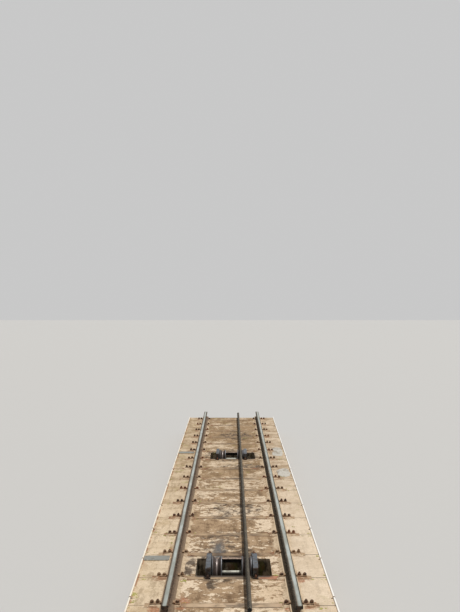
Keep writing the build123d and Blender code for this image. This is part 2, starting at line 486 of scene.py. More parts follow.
@dataclass(frozen=True)
class Concrete(Finish):
    """Sun-bleached cast concrete: smooth shoulders, a flaked and stained middle, rust at the steel."""

    shoulder: Colour = paint(226, 205, 175)
    shoulder_dim: Colour = paint(206, 183, 150)
    worn: Colour = paint(182, 154, 122)
    worn_dark: Colour = paint(140, 114, 86)
    flake_edge: Colour = paint(98, 80, 62)
    dragged: Colour = paint(196, 190, 182)
    sanded: Colour = paint(242, 236, 228)
    laitance: Colour = paint(238, 217, 189)
    bleached: Colour = paint(244, 227, 207)
    # Browner tone up the line: partly dirt, partly painted shade of the far part.
    far_brown: Colour = paint(150, 124, 91)
    speck: Colour = paint(70, 56, 42)
    grease: Colour = paint(96, 88, 80)
    wet_grease: Colour = paint(102, 101, 100)
    under_rail: Colour = paint(126, 106, 88)
    rust: Colour = paint(150, 92, 58)
    fresh_rust: Colour = paint(192, 130, 94)
    old_rust: Colour = paint(118, 76, 52)
    moss: Colour = paint(150, 148, 72)
    pit_wall: Colour = paint(214, 200, 176)
    pit_slime: Colour = paint(92, 84, 70)
    soil: Colour = paint(122, 101, 76)
    board_line: Colour = paint(206, 198, 190)
    gritty: Colour = paint(234, 230, 224)
    whole_skin: tuple[Mark, ...] = (
        Mark(0.41, -5.35, 0.20, 0.50, 0.045),
        Mark(-0.40, -5.16, 0.13, 0.16, 0.07),
        Mark(0.36, -5.85, 0.50, 0.40, 0.04),
        Mark(0.455, -4.55, 0.13, 0.50, 0.07),
    )
    lost_skin: tuple[Mark, ...] = (
        Mark(-0.02, -5.18, 0.24, 0.34, 0.055),
        Mark(-0.33, -5.45, 0.07, 0.22, 0.09),
    )
    sanded_at: Mark = Mark(0.40, -5.33, 0.24, 0.50, 0.9)
    rust_weeps: tuple[Mark, ...] = (
        Mark(-0.450, -5.57, 0.110, 0.22),
        Mark(-0.665, -5.73, 0.095, 0.13),
        Mark(0.500, -5.63, 0.070, 0.18),
        Mark(0.690, -5.62, 0.110, 0.13),
        Mark(-0.635, -3.98, 0.055, 0.20),
        Mark(0.655, -4.95, 0.060, 0.12),
    )
    # The three wide marks up the line are partly old oil and partly painted shadow of trees.
    oil_marks: tuple[Mark, ...] = (
        Mark(0.05, -2.25, 0.50, 0.80, 0.5),
        Mark(0.10, 3.55, 0.50, 0.80, 0.6),
        Mark(0.20, 0.52, 0.60, 0.35, 0.6),
        Mark(-0.188, -5.00, 0.070, 0.34),
        Mark(-0.10, -3.55, 0.42, 0.55, 0.42),
        Mark(-0.420, -4.52, 0.110, 0.52, 0.85),
    )
    oil_round_pits: tuple[Mark, ...] = (
        Mark(PIT_MIDDLE_X - 0.10, STATIONS[1] + 0.50, 0.50, 0.90),
        Mark(PIT_MIDDLE_X, STATIONS[2] + 0.40, 0.68, 0.80),
    )

    def mix(self, r: Recipe) -> Material:
        """Lays the stains over one another, from the cast skin to the grit."""
        n = Grain(
            cloud=r.noise(1.1, 3.0, shift=3.1),
            patch=r.noise(4.2, 8.0, 0.62, shift=1.3),
            fine=r.noise(30.0, 6.0, 0.65, shift=6.1),
            runs=r.noise(12.0, 6.0, 0.6, stretch=(1.0, 1.0, 0.15), shift=6.6),
        )
        depth = BED_TOP - r.z
        middle = (abs(r.x) + (n.patch - 0.5) * 0.06).fall(0.47, 0.52)
        flakes = self._flakes(r, n)
        colour = r.blend(self._shoulders(r, n), self._inner(r, n, flakes), middle)
        scuffs = r.noise(3.4, 9.0, 0.7, shift=19.0).rise(0.60, 0.66) * (1.0 - middle)
        colour = r.blend(colour, self.worn, scuffs * 0.5)
        # Painted shade: browner and darker up the line, partly dirt and partly the shade over the far
        # part.
        up_line = (r.y + (n.cloud - 0.5) * 3.0).rise(-3.0, 1.0)
        browned_and_shaded = up_line * (0.18 + 0.55 * n.patch.rise(0.40, 0.62))
        colour = self._by_steel(r, n, r.blend(colour, self.far_brown, browned_and_shaded), middle)

        # Darkening by old oil, with painted tree shadow in the wide marks up the line.
        oily = self._oil(r)
        colour = r.tint(colour, self.grease, oily * 0.92)
        drips = r.noise(26.0, 5.0, 0.62, stretch=(1.0, 0.16, 1.0), shift=14.0)
        fresh = self.grease_trail(r) * (0.55 + 0.45 * drips.rise(0.36, 0.60))
        colour = r.blend(colour, self.wet_grease, fresh * 0.95)
        growth = r.noise(3.1, 9.0, 0.7, shift=31.0).rise(0.60, 0.66) * (0.25 + 0.75 * up_line)
        colour = self._dark_lines(r, r.blend(colour, self.moss, growth * 0.6))

        from_shaft = abs(r.y - shaft_y(1)).least(abs(r.y - shaft_y(2)))
        inside = abs(r.x - PIT_MIDDLE_X).fall(0.385, 0.395) * from_shaft.fall(0.285, 0.295)
        in_pit = depth.rise(0.004, 0.045) * inside
        colour = r.blend(colour, self._pit_wall(r, n), in_pit)
        outside = abs(r.x).rise(0.922, 0.929).most(abs(r.y).rise(5.990, 5.997))
        colour = r.blend(colour, self._side(r, n, depth), outside * depth.rise(0.004, 0.012))
        grit = r.noise(85.0, 5.0, 0.7)
        colour = r.tint(colour, self.gritty, grit.rise(0.40, 0.62))

        pores = r.cells(110.0, shift=2.0).fall(0.08, 0.22) * 0.5
        relief = grit * 0.5 + flakes * middle * depth.fall(0.010, 0.016) * 0.45
        relief = relief - pores * 0.5 + n.patch * 0.5 + growth * 0.4
        gloss = 0.94 - (oily * 0.22).most(fresh * 0.40).most(in_pit * n.runs * 0.5)
        return r.finish(colour, gloss, 0.0, relief, 2.2 * MM, 0.25)

    def _shoulders(self, r: Recipe, n: Grain) -> Value:
        """Colour of the smooth shoulders."""
        dim = r.noise(2.6, 7.0, 0.6, shift=7.0).rise(0.42, 0.66)
        colour = r.blend(self.shoulder, self.shoulder_dim, dim)
        milky = r.noise(9.0, 6.0, 0.6, shift=21.0).rise(0.52, 0.66)
        colour = r.blend(colour, self.laitance, milky * 0.5)
        sunny = (r.x + (n.cloud - 0.5) * 0.1).rise(0.60, 0.66)
        colour = r.blend(colour, self.bleached, sunny * 0.36)
        mottled = r.noise(19.0, 8.0, 0.70, stretch=(1.0, 0.4, 1.0), shift=41.0)
        brushed = r.noise(26.0, 5.0, 0.6, stretch=(1.0, 0.08, 1.0), shift=43.0)
        mottled = (mottled + (brushed - 0.5) * 0.7).rise(0.47, 0.66)
        return r.tint(colour, self.dragged, mottled * (0.30 + 0.35 * r.left()))

    def _flakes(self, r: Recipe, n: Grain) -> Value:
        """1 where the cast skin still holds between the rails, 0 where it has flaked off."""
        ragged = r.noise(13.0, 9.0, 0.66, warp=0.35, shift=4.7)
        flaked = ragged * 0.7 + n.fine * 0.3 + (n.cloud - 0.5) * 0.65 + (n.patch - 0.5) * -0.25
        return (flaked + r.added(self.whole_skin) - r.added(self.lost_skin)).rise(0.502, 0.532)

    def _inner(self, r: Recipe, n: Grain, flakes: Value) -> Value:
        """Colour between the rails."""
        scars = r.blend(self.worn, self.worn_dark, (n.patch * 0.6 + n.fine * 0.4).rise(0.45, 0.60))
        drag = r.noise(15.0, 6.0, 0.62, stretch=(1.0, 0.10, 1.0), shift=37.0).rise(0.47, 0.62)
        scars = r.tint(scars, self.dragged, drag * 0.7)
        inner = r.blend(scars, self.laitance, flakes * (0.70 + 0.30 * n.fine.rise(0.35, 0.6)))
        crust = r.noise(60.0, 6.0, 0.7, shift=33.0) + (n.fine - 0.5) * 0.5
        inner = r.blend(inner, self.flake_edge, crust.rise(0.60, 0.70) * 0.75)
        return r.tint(inner, self.sanded, r.blot(self.sanded_at))

    def _by_steel(self, r: Recipe, n: Grain, colour: Value, middle: Value) -> Value:
        """Adds dust under the rails, soot at the sleepers, rust, and painted shade beside the left
        conduit.
        """
        across = abs(r.x)
        lone = from_sleeper(r)
        beside_rail = abs(across - RAIL_X)
        dust = (beside_rail + (n.patch - 0.5) * 0.03).fall(0.066, 0.080) * across.fall(0.56, 0.60)
        colour = r.blend(colour, self.under_rail, dust * (0.25 + 0.5 * r.left()))
        soot = lone.fall(0.052, 0.110) * r.noise(11.0, 7.0, 0.65, shift=12.0).rise(0.46, 0.60)
        colour = r.blend(colour, self.worn_dark, soot * middle * 0.75)

        by_clip = lone.fall(0.05, 0.13) * beside_rail.fall(0.13, 0.24)
        bleed = by_clip * r.noise(16.0, 7.0, 0.68, shift=2.2).rise(0.46, 0.60)
        streak = lone.fall(0.05, 0.085) * r.noise(2.3, 5.0, shift=9.4).rise(0.56, 0.68)
        streak = streak * across.fall(0.7, 0.8)
        # Painted shade: the strip along the left conduit is darkened with the rust colour, standing for
        # the shaded gap beside it.
        edge = (r.x + CONDUIT_X - 0.018).fall(-0.004, 0.012) * r.noise(6.0, 5.0).rise(0.44, 0.55)
        rusty = (bleed * 0.70).most(streak * 0.45).most(edge * 0.7)
        colour = r.blend(colour, self.rust, rusty)
        wept = r.stain(r.noise(34.0, 7.0, 0.7, shift=26.0), self.rust_weeps)
        flecks = r.noise(70.0, 6.0, 0.7, shift=45.0).rise(0.46, 0.60)
        return r.blend(colour, r.blend(self.fresh_rust, self.old_rust, flecks), wept * 0.9)

    def _oil(self, r: Recipe) -> Value:
        """Darkening: oil and painted tree shadow in its marks, oil round the pits, a band under the
        rope.
        """
        under_rope = abs(r.x - SHEAVE_X).fall(0.010, 0.085) * 0.40
        film = r.strongest(self.oil_marks).most(r.strongest(self.oil_round_pits) * 0.72)
        film = film.most(under_rope)
        smear = r.noise(10.0, 9.0, 0.70, stretch=(1.0, 0.55, 1.0), shift=5.5)
        return (film + (smear - 0.5) * 4.2 * film.rise(0.0, 0.5)).rise(0.15, 1.0)

    def _dark_lines(self, r: Recipe, colour: Value) -> Value:
        """Adds crumbs, the joints' dark seams and the dark lip in front of each pit."""
        across = abs(r.x)
        lone = from_sleeper(r)
        crumbs = r.cells(34.0, shift=8.0).fall(0.06, 0.14)
        crumbs = crumbs * r.noise(5.0, 2.0, shift=15.0).rise(0.52, 0.60)
        colour = r.blend(colour, self.speck, crumbs * 0.8)
        seam = lone.fall(0.0515, 0.0570) * lone.rise(0.0485, 0.0500) * across.fall(0.772, 0.778)
        cut = lone.fall(0.0035, 0.0080) * across.rise(0.765, 0.772)
        seams = (seam * 0.8).most(cut * (0.35 + 0.5 * r.right()))
        colour = r.blend(colour, self.speck, seams)
        past = past_station(r)
        lip = past.rise(0.030, 0.045) * past.fall(0.070, 0.078)
        lip = lip * abs(r.x - PIT_MIDDLE_X).fall(0.34, 0.40)
        return r.blend(colour, self.speck, lip * 0.9)

    def _pit_wall(self, r: Recipe, n: Grain) -> Value:
        """Colour of the pits' walls: slime, moss and rust in runs."""
        lumps = r.noise(15.0, 5.0, 0.62, shift=27.0)
        slimy = (n.runs * 0.55 + lumps * 0.45).rise(0.43, 0.57)
        wall = r.blend(self.pit_wall, self.pit_slime, slimy)
        wall = r.blend(wall, self.moss, (n.runs * r.noise(9.0)).rise(0.27, 0.35) * 0.5)
        rusty = r.noise(8.0, 5.0, 0.6, shift=29.0).rise(0.56, 0.66)
        return r.blend(wall, self.rust, rusty * 0.5)

    def _side(self, r: Recipe, n: Grain, depth: Value) -> Value:
        """Colour of the bed's outer faces: damp soil low down and lines of the boards."""
        boards = (r.z * 8.33 + (n.patch - 0.5) * 0.06).fraction()
        wet = r.noise(3.0, 6.0, 0.6, stretch=(1.0, 1.0, 0.5), shift=17.0)
        damp = (depth * 2.2 + (wet - 0.5) * 1.6).rise(0.2, 0.9)
        cast = r.blend(self.shoulder_dim, self.shoulder, n.patch.rise(0.4, 0.6))
        cast = r.blend(cast, self.soil, damp * 0.7 + n.runs.rise(0.48, 0.62) * 0.25)
        return r.tint(cast, self.board_line, boards.rise(0.93, 0.985))

    @staticmethod
    def grease_trail(r: Recipe) -> Value:
        """1 where grease has run up the line from the first pit's left sheave, fading further on."""
        aside = abs(r.x + SHEAVE_X - 0.004)
        fading = 1.0 - 0.72 * r.y.rise(-4.05, -3.35)
        trail = aside.fall(0.000, 0.105) * r.y.rise(-4.30, -4.26)
        return trail * fading * r.y.fall(-3.7, -3.0)


@dataclass(frozen=True)
class SleeperSteel(Finish):
    """Top flanges worn and dusted to nearly the colour of the bed, rusty by the fastenings."""

    dust: Colour = paint(180, 153, 121)
    blown: Colour = paint(208, 181, 150)
    scale: Colour = paint(118, 88, 64)
    red: Colour = paint(150, 94, 62)
    pink: Colour = paint(202, 142, 112)
    tread: Colour = paint(216, 214, 214)
    dark: Colour = paint(66, 54, 44)
    red_run: Mark = Mark(0.43, STATIONS[1], 0.26, 0.14)
    calm: Mark = Mark(-0.10, STATIONS[1], 0.42, 0.14)
    drift: Mark = Mark(0.10, FIRST_SLEEPER, 0.70, 0.12)
    trodden: Mark = Mark(0.0, STATIONS[1] + SLEEPER_PITCH, 0.46, 0.12)

    def mix(self, r: Recipe) -> Material:
        """Dust over rust, darker at the edges."""
        lone = from_sleeper(r)
        near_rail = abs(abs(r.x) - RAIL_X).fall(0.10, 0.26)
        cover = r.noise(5.0, 8.0, 0.66, shift=2.0)
        by_pit = abs(r.y - STATIONS[1]).least(abs(r.y - STATIONS[2])).fall(0.1, 0.4)
        red_run = r.blot(self.red_run)
        bare = cover + near_rail * 0.12 + by_pit * 0.02 + red_run * 0.20 - r.blot(self.calm) * 0.25
        bare = bare.rise(0.53, 0.66)
        rust = r.blend(self.scale, self.red, r.noise(24.0, 6.0, 0.7).rise(0.42, 0.62))
        rust = r.blend(rust, self.pink, red_run * 0.8)
        colour = r.blend(self.dust, rust, bare * 0.9)
        specks = (r.noise(75.0, 7.0, 0.75, shift=21.0) + (cover - 0.5) * 0.5).rise(0.57, 0.66)
        colour = r.blend(colour, self.scale, specks * 0.55)
        blown = r.blot(self.drift) * (0.5 + 0.5 * cover.rise(0.40, 0.60))
        colour = r.blend(colour, self.blown, blown)
        past = past_station(r)
        lip = past.rise(-0.004, 0.014) * past.fall(0.070, 0.078)
        lip = lip * abs(r.x - PIT_MIDDLE_X).fall(0.34, 0.40)
        steps = r.noise(30.0, 7.0, 0.68, stretch=(0.5, 1.0, 1.0), shift=12.0).rise(0.42, 0.64)
        colour = r.tint(colour, self.tread, (r.blot(self.trodden) + steps * 0.5).least(1.0))
        oily = abs(r.x - 0.02).fall(0.15, 0.42) * r.noise(6.0, 6.0, 0.6, shift=8.0).rise(0.40, 0.62)
        oily = (oily * 0.7).most(lip * 0.92).most(Concrete.grease_trail(r) * 0.8)
        colour = r.blend(colour, self.dark, oily.most(lone.rise(0.0455, 0.0495) * 0.8))
        flakes = r.noise(160.0, 6.0, 0.75)
        return r.finish(colour, 0.90 - oily * 0.2, bare * 0.12, flakes + cover, 1.2 * MM, 0.3)


@dataclass(frozen=True)
class RailSteel(Finish):
    """Rolled rail: a bright running surface, brown sides, a dusty foot, and painted shade on the right
    rail's flanks.
    """

    bright: Colour = paint(168, 171, 161)
    gleam: Colour = paint(198, 203, 197)
    dull: Colour = paint(132, 130, 118)
    rust: Colour = paint(98, 77, 61)
    rust_dark: Colour = paint(54, 45, 38)
    oiled: Colour = paint(44, 48, 40)
    dust: Colour = paint(172, 147, 119)
    pale_dust: Colour = paint(216, 192, 160)

    def mix(self, r: Recipe) -> Material:
        """Polish by how near a point is to the wheels' path."""
        aside = abs(abs(r.x) - RAIL_X)
        track = abs(abs(r.x) - RAIL_X - 0.004 * r.right())
        height = r.z - RAIL_BASE
        long_noise = r.noise(38.0, 6.0, 0.6, stretch=(1.0, 0.03, 1.0))
        slow = r.noise(3.0, 4.0, 0.6, stretch=(1.0, 0.6, 1.0), shift=11.0)
        spots = r.noise(46.0, 7.0, 0.7)
        running = (track + (long_noise - 0.5) * 0.012).fall(0.0160, 0.0215)
        worn = height.rise(0.1150, 0.1185) * running
        path = (track + (long_noise - 0.5) * 0.030 + (slow - 0.5) * 0.012).fall(0.0080, 0.0160)
        gleam = r.noise(4.0, 5.0, 0.62, stretch=(3.0, 0.8, 1.0), shift=23.0).rise(0.38, 0.64)
        shine = r.blend(self.dull, r.blend(self.bright, self.gleam, gleam), path)
        shine = r.blend(shine, self.rust, (spots + (slow - 0.5) * 0.3).rise(0.64, 0.74) * 0.5)
        old = r.blend(self.rust_dark, self.rust, spots.rise(0.38, 0.62))
        # Painted shade: the right rail's flanks go greenish dark; oil spots add a little on both rails.
        oiled = (r.right() * aside.rise(0.018, 0.024) + spots - 0.5).rise(0.2, 0.8)
        old = r.blend(old, self.oiled, oiled * 0.7)
        stripes = r.noise(16.0, 5.0, 0.6, stretch=(1.0, 1.0, 0.2), shift=4.0).rise(0.48, 0.64)
        outside = abs(r.x).rise(RAIL_X, RAIL_X + 0.01)
        ragged = height.fall(0.010, 0.030) * (0.3 + 0.6 * stripes)
        settled = (height.fall(0.009, 0.021) * 0.85).most(ragged) * (0.55 + 0.45 * outside)
        heaped = r.right() * height.fall(0.010, 0.018) * aside.rise(0.046, 0.053)
        settled = settled.most(heaped).most(stripes * 0.12)
        old = r.blend(old, r.blend(self.dust, self.pale_dust, r.right()), settled)
        colour = r.blend(old, shine, worn)
        rough = 0.86 - worn * (0.30 + 0.16 * path) + (long_noise - 0.5) * 0.12
        relief = (spots + r.noise(220.0, 4.0, 0.7)) * (1.0 - worn * 0.92) + long_noise * 0.1
        return r.finish(colour, rough, worn * (0.6 + 0.25 * path), relief, 0.9 * MM, 0.2)


@dataclass(frozen=True)
class RustyForging(Finish):
    """Dark rusty forgings with brighter flakes, dusty where they face up."""

    dusty: float = 0.25
    dark: Colour = paint(68, 57, 51)
    brown: Colour = paint(114, 86, 70)
    orange: Colour = paint(178, 112, 78)
    dust: Colour = paint(168, 140, 110)

    def mix(self, r: Recipe) -> Material:
        """Layers of rust and dust."""
        spots = r.noise(30.0, 8.0, 0.72)
        fine = r.noise(210.0, 6.0, 0.75, shift=3.0)
        base = r.blend(self.dark, self.brown, spots.rise(0.40, 0.62))
        very_dusty = max(0.0, self.dusty - 0.3)
        flush = r.noise(1.9, 3.0, shift=17.0).rise(0.50, 0.58) * 0.12 + very_dusty * 0.14
        flakes = r.noise(55.0, 6.0, 0.7, shift=5.0) + fine * 0.2 + flush
        base = r.blend(base, self.orange, flakes.rise(0.64, 0.76) * 0.8)
        slow = r.noise(1.4, 2.0, shift=13.0)
        from_pit = abs(r.y - (STATIONS[1] + SLEEPER_PITCH / 2))
        caked = from_pit.fall(0.55, 0.62) * abs(r.x).rise(0.38, 0.40)
        facing = self.upward(r).most(0.95 * very_dusty).most(slow.rise(0.50, 0.60) * 0.6)
        facing = facing.most(caked * 0.85)
        loose = r.noise(18.0, 6.0, 0.68, shift=9.0) + (slow - 0.5) * 0.9
        loose = loose + self.dusty * 0.3 + caked * 0.13
        thick = (min(1.0, 0.45 + self.dusty * 0.6) + caked * 0.25).least(1.0)
        colour = r.blend(base, self.dust, facing * loose.rise(0.50, 0.68) * thick)
        return r.finish(colour, 0.86 - spots * 0.1, 0.08, fine + spots, 1.0 * MM, 0.3)

    @staticmethod
    def upward(r: Recipe) -> Value:
        """1 where the surface faces up."""
        facing = r.node("ShaderNodeNewGeometry", output="Normal")
        split = r.node("ShaderNodeSeparateXYZ", {}, {0: facing}, 2)
        return split.rise(0.6, 0.95)


@dataclass(frozen=True)
class RopeWire(Finish):
    """Greased bright wire, black in the valleys, dusty on the crowns, with painted shade on its flanks.
    """

    valley: Colour = paint(22, 20, 18)
    wire: Colour = paint(106, 97, 82)
    dusty: Colour = paint(134, 124, 104)

    def mix(self, r: Recipe) -> Material:
        """Wire by the distance from the rope's middle, with painted shade on its flanks."""
        aside = r.x - SHEAVE_X
        above = r.z - ROPE_Z
        reach = (aside * aside + above * above) ** 0.5
        wires = r.noise(620.0, 2.0, 0.5, stretch=(1.0, 0.035, 1.0))
        crown = (reach + (wires - 0.5) * 0.003).rise(0.0170, 0.0216)
        colour = r.blend(self.valley, self.wire, crown)
        colour = r.blend(colour, self.dusty, r.noise(7.0, 6.0, 0.6).rise(0.48, 0.66) * crown * 0.6)
        # Painted shade: the rope's left flank goes dark, the right edge half as dark.
        lean = aside + (r.noise(9.0, 5.0, 0.6, shift=7.0) - 0.5) * 0.02
        rope_flank_shade = lean.fall(-0.014, 0.001).most(lean.rise(0.010, 0.020) * 0.5)
        colour = r.blend(colour, self.valley, rope_flank_shade * 0.72)
        return r.finish(colour, 0.50 + 0.2 * wires, crown * 0.35, wires, 0.6 * MM, 0.3)


@dataclass(frozen=True)
class FramePaint(Finish):
    """Blue-grey paint, chipped to rust along its edges and black with grease round the shaft."""

    dusty: float = 0.0
    dust: Colour = paint(184, 158, 138)
    coat: Colour = paint(70, 75, 81)
    faded: Colour = paint(92, 96, 101)
    shaded: Colour = paint(238, 238, 238)
    rust: Colour = paint(74, 60, 50)
    grease: Colour = paint(30, 28, 27)

    def mix(self, r: Recipe) -> Material:
        """Paint, chips, grease and painted shade on the left frames."""
        wear = r.noise(17.0, 9.0, 0.72, shift=1.0)
        low = (BED_TOP + 0.07 - r.z).rise(0.0, 0.10)
        front = past_station(r).fall(-0.004, 0.004)
        foot = (r.z - BED_TOP).fall(0.012, 0.03)
        edge = self.edges(r)
        chips = (wear + edge * 0.13 + front * 0.10 + foot * 0.05).rise(0.555, 0.59)
        colour = r.blend(self.coat, self.faded, r.noise(6.0, 6.0, shift=4.0).rise(0.42, 0.62))
        rust = r.blend(self.rust, self.grease, r.noise(60.0, 6.0, 0.7).rise(0.45, 0.68))
        colour = r.blend(colour, rust, chips)
        oily = low * 0.9 + (r.noise(9.0, 7.0, 0.65, shift=6.0) - 0.5) * 0.9 - foot * 0.35
        oily = oily.rise(0.30, 0.62)
        colour = r.blend(colour, self.grease, oily * 0.88)
        # Painted shade: the left frames are darkened all over.
        colour = r.tint(colour, self.shaded, r.left())
        settled = RustyForging.upward(r) * self.dusty
        settled = settled * r.noise(22.0, 7.0, 0.7, shift=15.0).rise(0.38, 0.56)
        colour = r.blend(colour, self.dust, settled)
        return r.finish(colour, 0.58 + chips * 0.28 - oily * 0.2, 0.0, wear - chips * 0.5, 0.8 * MM)

    @staticmethod
    def edges(r: Recipe) -> Value:
        """1 along the convex edges of a mesh that has edges fine enough to show it."""
        return r.node("ShaderNodeNewGeometry", output="Pointiness").rise(0.53, 0.60)


@dataclass(frozen=True)
class SheaveIron(Finish):
    """Cast iron wheel in its own coordinates: brown groove, bright wear line, polished rims."""

    cast: Colour = paint(52, 45, 42)
    groove: Colour = paint(84, 71, 65)
    bright: Colour = paint(158, 147, 142)
    rubbed: Colour = paint(128, 112, 104)
    rim: Colour = paint(112, 112, 114)
    grease: Colour = paint(24, 22, 21)

    def mix(self, r: Recipe) -> Material:
        """Polish by radius and by the distance from the wheel's middle plane."""
        radius = (r.y * r.y + r.z * r.z) ** 0.5
        aside = abs(r.x)
        spots = r.noise(40.0, 8.0, 0.7)
        rubbed = r.noise(90.0, 5.0, 0.6, stretch=(1.0, 0.12, 0.12), shift=6.0)
        in_groove = radius.rise(0.139, 0.1415) * aside.fall(0.040, 0.044)
        in_middle = (aside + (rubbed - 0.5) * 0.004).fall(0.0018, 0.0044)
        line = radius.fall(0.1428, 0.1440) * in_middle * in_groove
        halo = (aside + (rubbed - 0.5) * 0.010).fall(0.004, 0.018) * in_groove
        edge = aside.rise(0.0400, 0.0430) * radius.rise(0.1660, 0.1680)
        lips = edge * (0.45 + 0.55 * rubbed.rise(0.40, 0.56))
        greasy = r.noise(11.0, 8.0, 0.68, shift=2.0).rise(0.40, 0.60)
        colour = r.blend(self.cast, self.grease, greasy)
        tread = r.blend(self.groove, self.cast, spots.rise(0.42, 0.62))
        tread = r.blend(tread, self.rubbed, halo * 0.7)
        colour = r.blend(colour, tread, in_groove)
        colour = r.blend(colour, self.rim, lips)
        colour = r.blend(colour, self.bright, line)
        shine = (lips * 0.8).most(line)
        fine = r.noise(300.0, 4.0, 0.7)
        relief = (spots + fine * 0.6) * (1.0 - shine * 0.9)
        rough = 0.68 - lips * 0.17 - line * 0.27
        return r.finish(colour, rough, (lips * 0.5).most(line * 0.85) + 0.1, relief, 1.1 * MM, 0.3)


@dataclass(frozen=True)
class PlainMetal(Finish):
    """Metal of one colour with grease over part of it, for shafts, bushes and nipples."""

    colour: Colour
    grimy: Colour = paint(38, 34, 30)
    grime: float = 0.5
    roughness: float = 0.36

    def mix(self, r: Recipe) -> Material:
        """Metal with patches of grease."""
        film = r.noise(14.0, 8.0, 0.68).rise(0.62 - 0.3 * self.grime, 0.74 - 0.3 * self.grime)
        lines = r.noise(90.0, 3.0, 0.6, stretch=(1.0, 0.15, 0.15))
        colour = r.blend(self.colour, self.grimy, film)
        rough = self.roughness + film * 0.2 + lines * 0.1
        return r.finish(colour, rough, 0.85 - film * 0.7, lines, 0.3 * MM)


@dataclass(frozen=True)
class ChalkyCoat(Finish):
    """Pale coat or plastic that has weathered: chalking, dirt in streaks and worn spots."""

    coat: Colour
    dirt: Colour
    bare: Colour
    dirty: float = 0.5
    worn: float = 0.2
    scale: float = 9.0

    def mix(self, r: Recipe) -> Material:
        """Coat, dirt and bare spots."""
        cloud = r.noise(self.scale, 8.0, 0.66, shift=5.0)
        spots = r.noise(self.scale * 4.0, 8.0, 0.72, shift=1.0)
        low = 0.66 - 0.22 * self.dirty
        colour = r.blend(self.coat, self.dirt, cloud.rise(low, low + 0.16) * 0.85)
        bare_at = 0.72 - 0.22 * self.worn
        gone = (spots + FramePaint.edges(r) * 0.08).rise(bare_at, bare_at + 0.03)
        colour = r.blend(colour, self.bare, gone)
        fine = r.noise(260.0, 4.0, 0.7)
        return r.finish(colour, 0.66 + cloud * 0.15, 0.0, fine * 0.5 + cloud - gone * 0.6, 0.6 * MM)


@dataclass(frozen=True)
class SpacerPaint(Finish):
    """Pale grey paint left showing along the front of the tube's crown; grease and painted shade cover
    the rest.
    """

    coat: Colour = paint(214, 212, 194)
    grime: Colour = paint(62, 58, 50)
    film: Colour = paint(128, 120, 104)

    def mix(self, r: Recipe) -> Material:
        """Paint, grease and painted shade by the place round the tube."""
        cloud = r.noise(16.0, 7.0, 0.66, stretch=(0.5, 1.0, 1.0), shift=3.0)
        torn = (cloud - 0.5) * 0.008
        # Painted shade: the back half and the underside go dark with the grime colour, leaving a pale
        # band along the front of the crown.
        behind = (past_station(r) - (PIT_NEAR + PIT_LENGTH / 2) + torn).rise(-0.002, 0.010)
        low = (r.z - SHAFT_Z + torn).fall(0.018, 0.025)
        ends = abs(r.x).rise(0.070, 0.094)
        grime_and_shade = low.most(behind * 0.85).most(ends * 0.8)
        dull = r.blend(self.coat, self.film, cloud.rise(0.50, 0.64) * 0.8)
        colour = r.blend(dull, self.grime, grime_and_shade)
        fine = r.noise(240.0, 4.0, 0.7)
        return r.finish(colour, 0.62 - grime_and_shade * 0.2, 0.0, cloud + fine * 0.4, 0.5 * MM)


@dataclass(frozen=True)
class Mortar(Finish):
    """Pale grey repair mortar, trowelled and stained at its rim."""

    pale: Colour = paint(196, 190, 178)
    dim: Colour = paint(160, 150, 134)
    stained: Colour = paint(112, 96, 70)

    def mix(self, r: Recipe) -> Material:
        """Trowel marks and stains."""
        strokes = r.noise(7.0, 7.0, 0.6, stretch=(1.0, 0.35, 1.0), warp=1.2)
        colour = r.blend(self.pale, self.dim, strokes.rise(0.44, 0.62))
        spots = r.noise(11.0, 8.0, 0.7, shift=4.0).rise(0.60, 0.68)
        colour = r.blend(colour, self.stained, spots * 0.7)
        return r.finish(colour, 0.9, 0.0, strokes + r.noise(120.0, 5.0, 0.7) * 0.4, 1.4 * MM)


@dataclass(frozen=True)
class Moss(Finish):
    """Cushions of moss, yellow-green on top."""

    deep: Colour = paint(116, 112, 52)
    bright: Colour = paint(190, 184, 104)

    def mix(self, r: Recipe) -> Material:
        """Fine tufts of two greens."""
        tufts = r.noise(240.0, 6.0, 0.7)
        share = (tufts * 0.6 + r.noise(9.0, 3.0) * 0.6).rise(0.44, 0.68)
        return r.finish(r.blend(self.deep, self.bright, share), 0.95, 0.0, tufts, 3.0 * MM)


@dataclass(frozen=True)
class PackedDirt(Finish):
    """Grit and dust packed against the rails' feet, the colour of the bed."""

    pale: Colour = paint(214, 191, 160)
    brown: Colour = paint(160, 134, 104)

    def mix(self, r: Recipe) -> Material:
        """Clods and grains."""
        clods = r.noise(13.0, 8.0, 0.72, shift=2.0)
        grains = r.noise(150.0, 6.0, 0.75, shift=5.0)
        earthy = (clods * 0.7 + grains * 0.3).rise(0.44, 0.60)
        colour = r.blend(self.pale, self.brown, earthy * 0.8)
        crumbs = r.cells(70.0, shift=3.0).fall(0.10, 0.20) * grains.rise(0.50, 0.60)
        colour = r.blend(colour, Concrete.speck, crumbs * 0.7)
        rusty = from_sleeper(r).fall(0.08, 0.22) * clods.rise(0.44, 0.60)
        colour = r.blend(colour, Concrete.rust, rusty * 0.5)
        return r.finish(colour, 0.95, 0.0, grains + clods, 2.0 * MM, 0.2)


@dataclass(frozen=True)
class Silt(Finish):
    """Greasy silt on the floor of the pits."""

    mud: Colour = paint(92, 76, 58)
    dry: Colour = paint(142, 118, 88)
    black: Colour = paint(30, 27, 24)

    def mix(self, r: Recipe) -> Material:
        """Mud, dry crusts and black oil."""
        cloud = r.noise(6.0, 8.0, 0.65)
        grains = r.noise(110.0, 7.0, 0.75, shift=2.0)
        colour = r.blend(self.mud, self.dry, (cloud * 0.7 + grains * 0.4).rise(0.52, 0.66))
        oil = abs(r.x).fall(0.05, 0.28) * r.noise(5.0, 6.0, shift=7.0).rise(0.36, 0.56)
        colour = r.blend(colour, self.black, oil * 0.9)
        return r.finish(colour, 0.9 - oil * 0.55, 0.0, grains + cloud, 2.5 * MM)


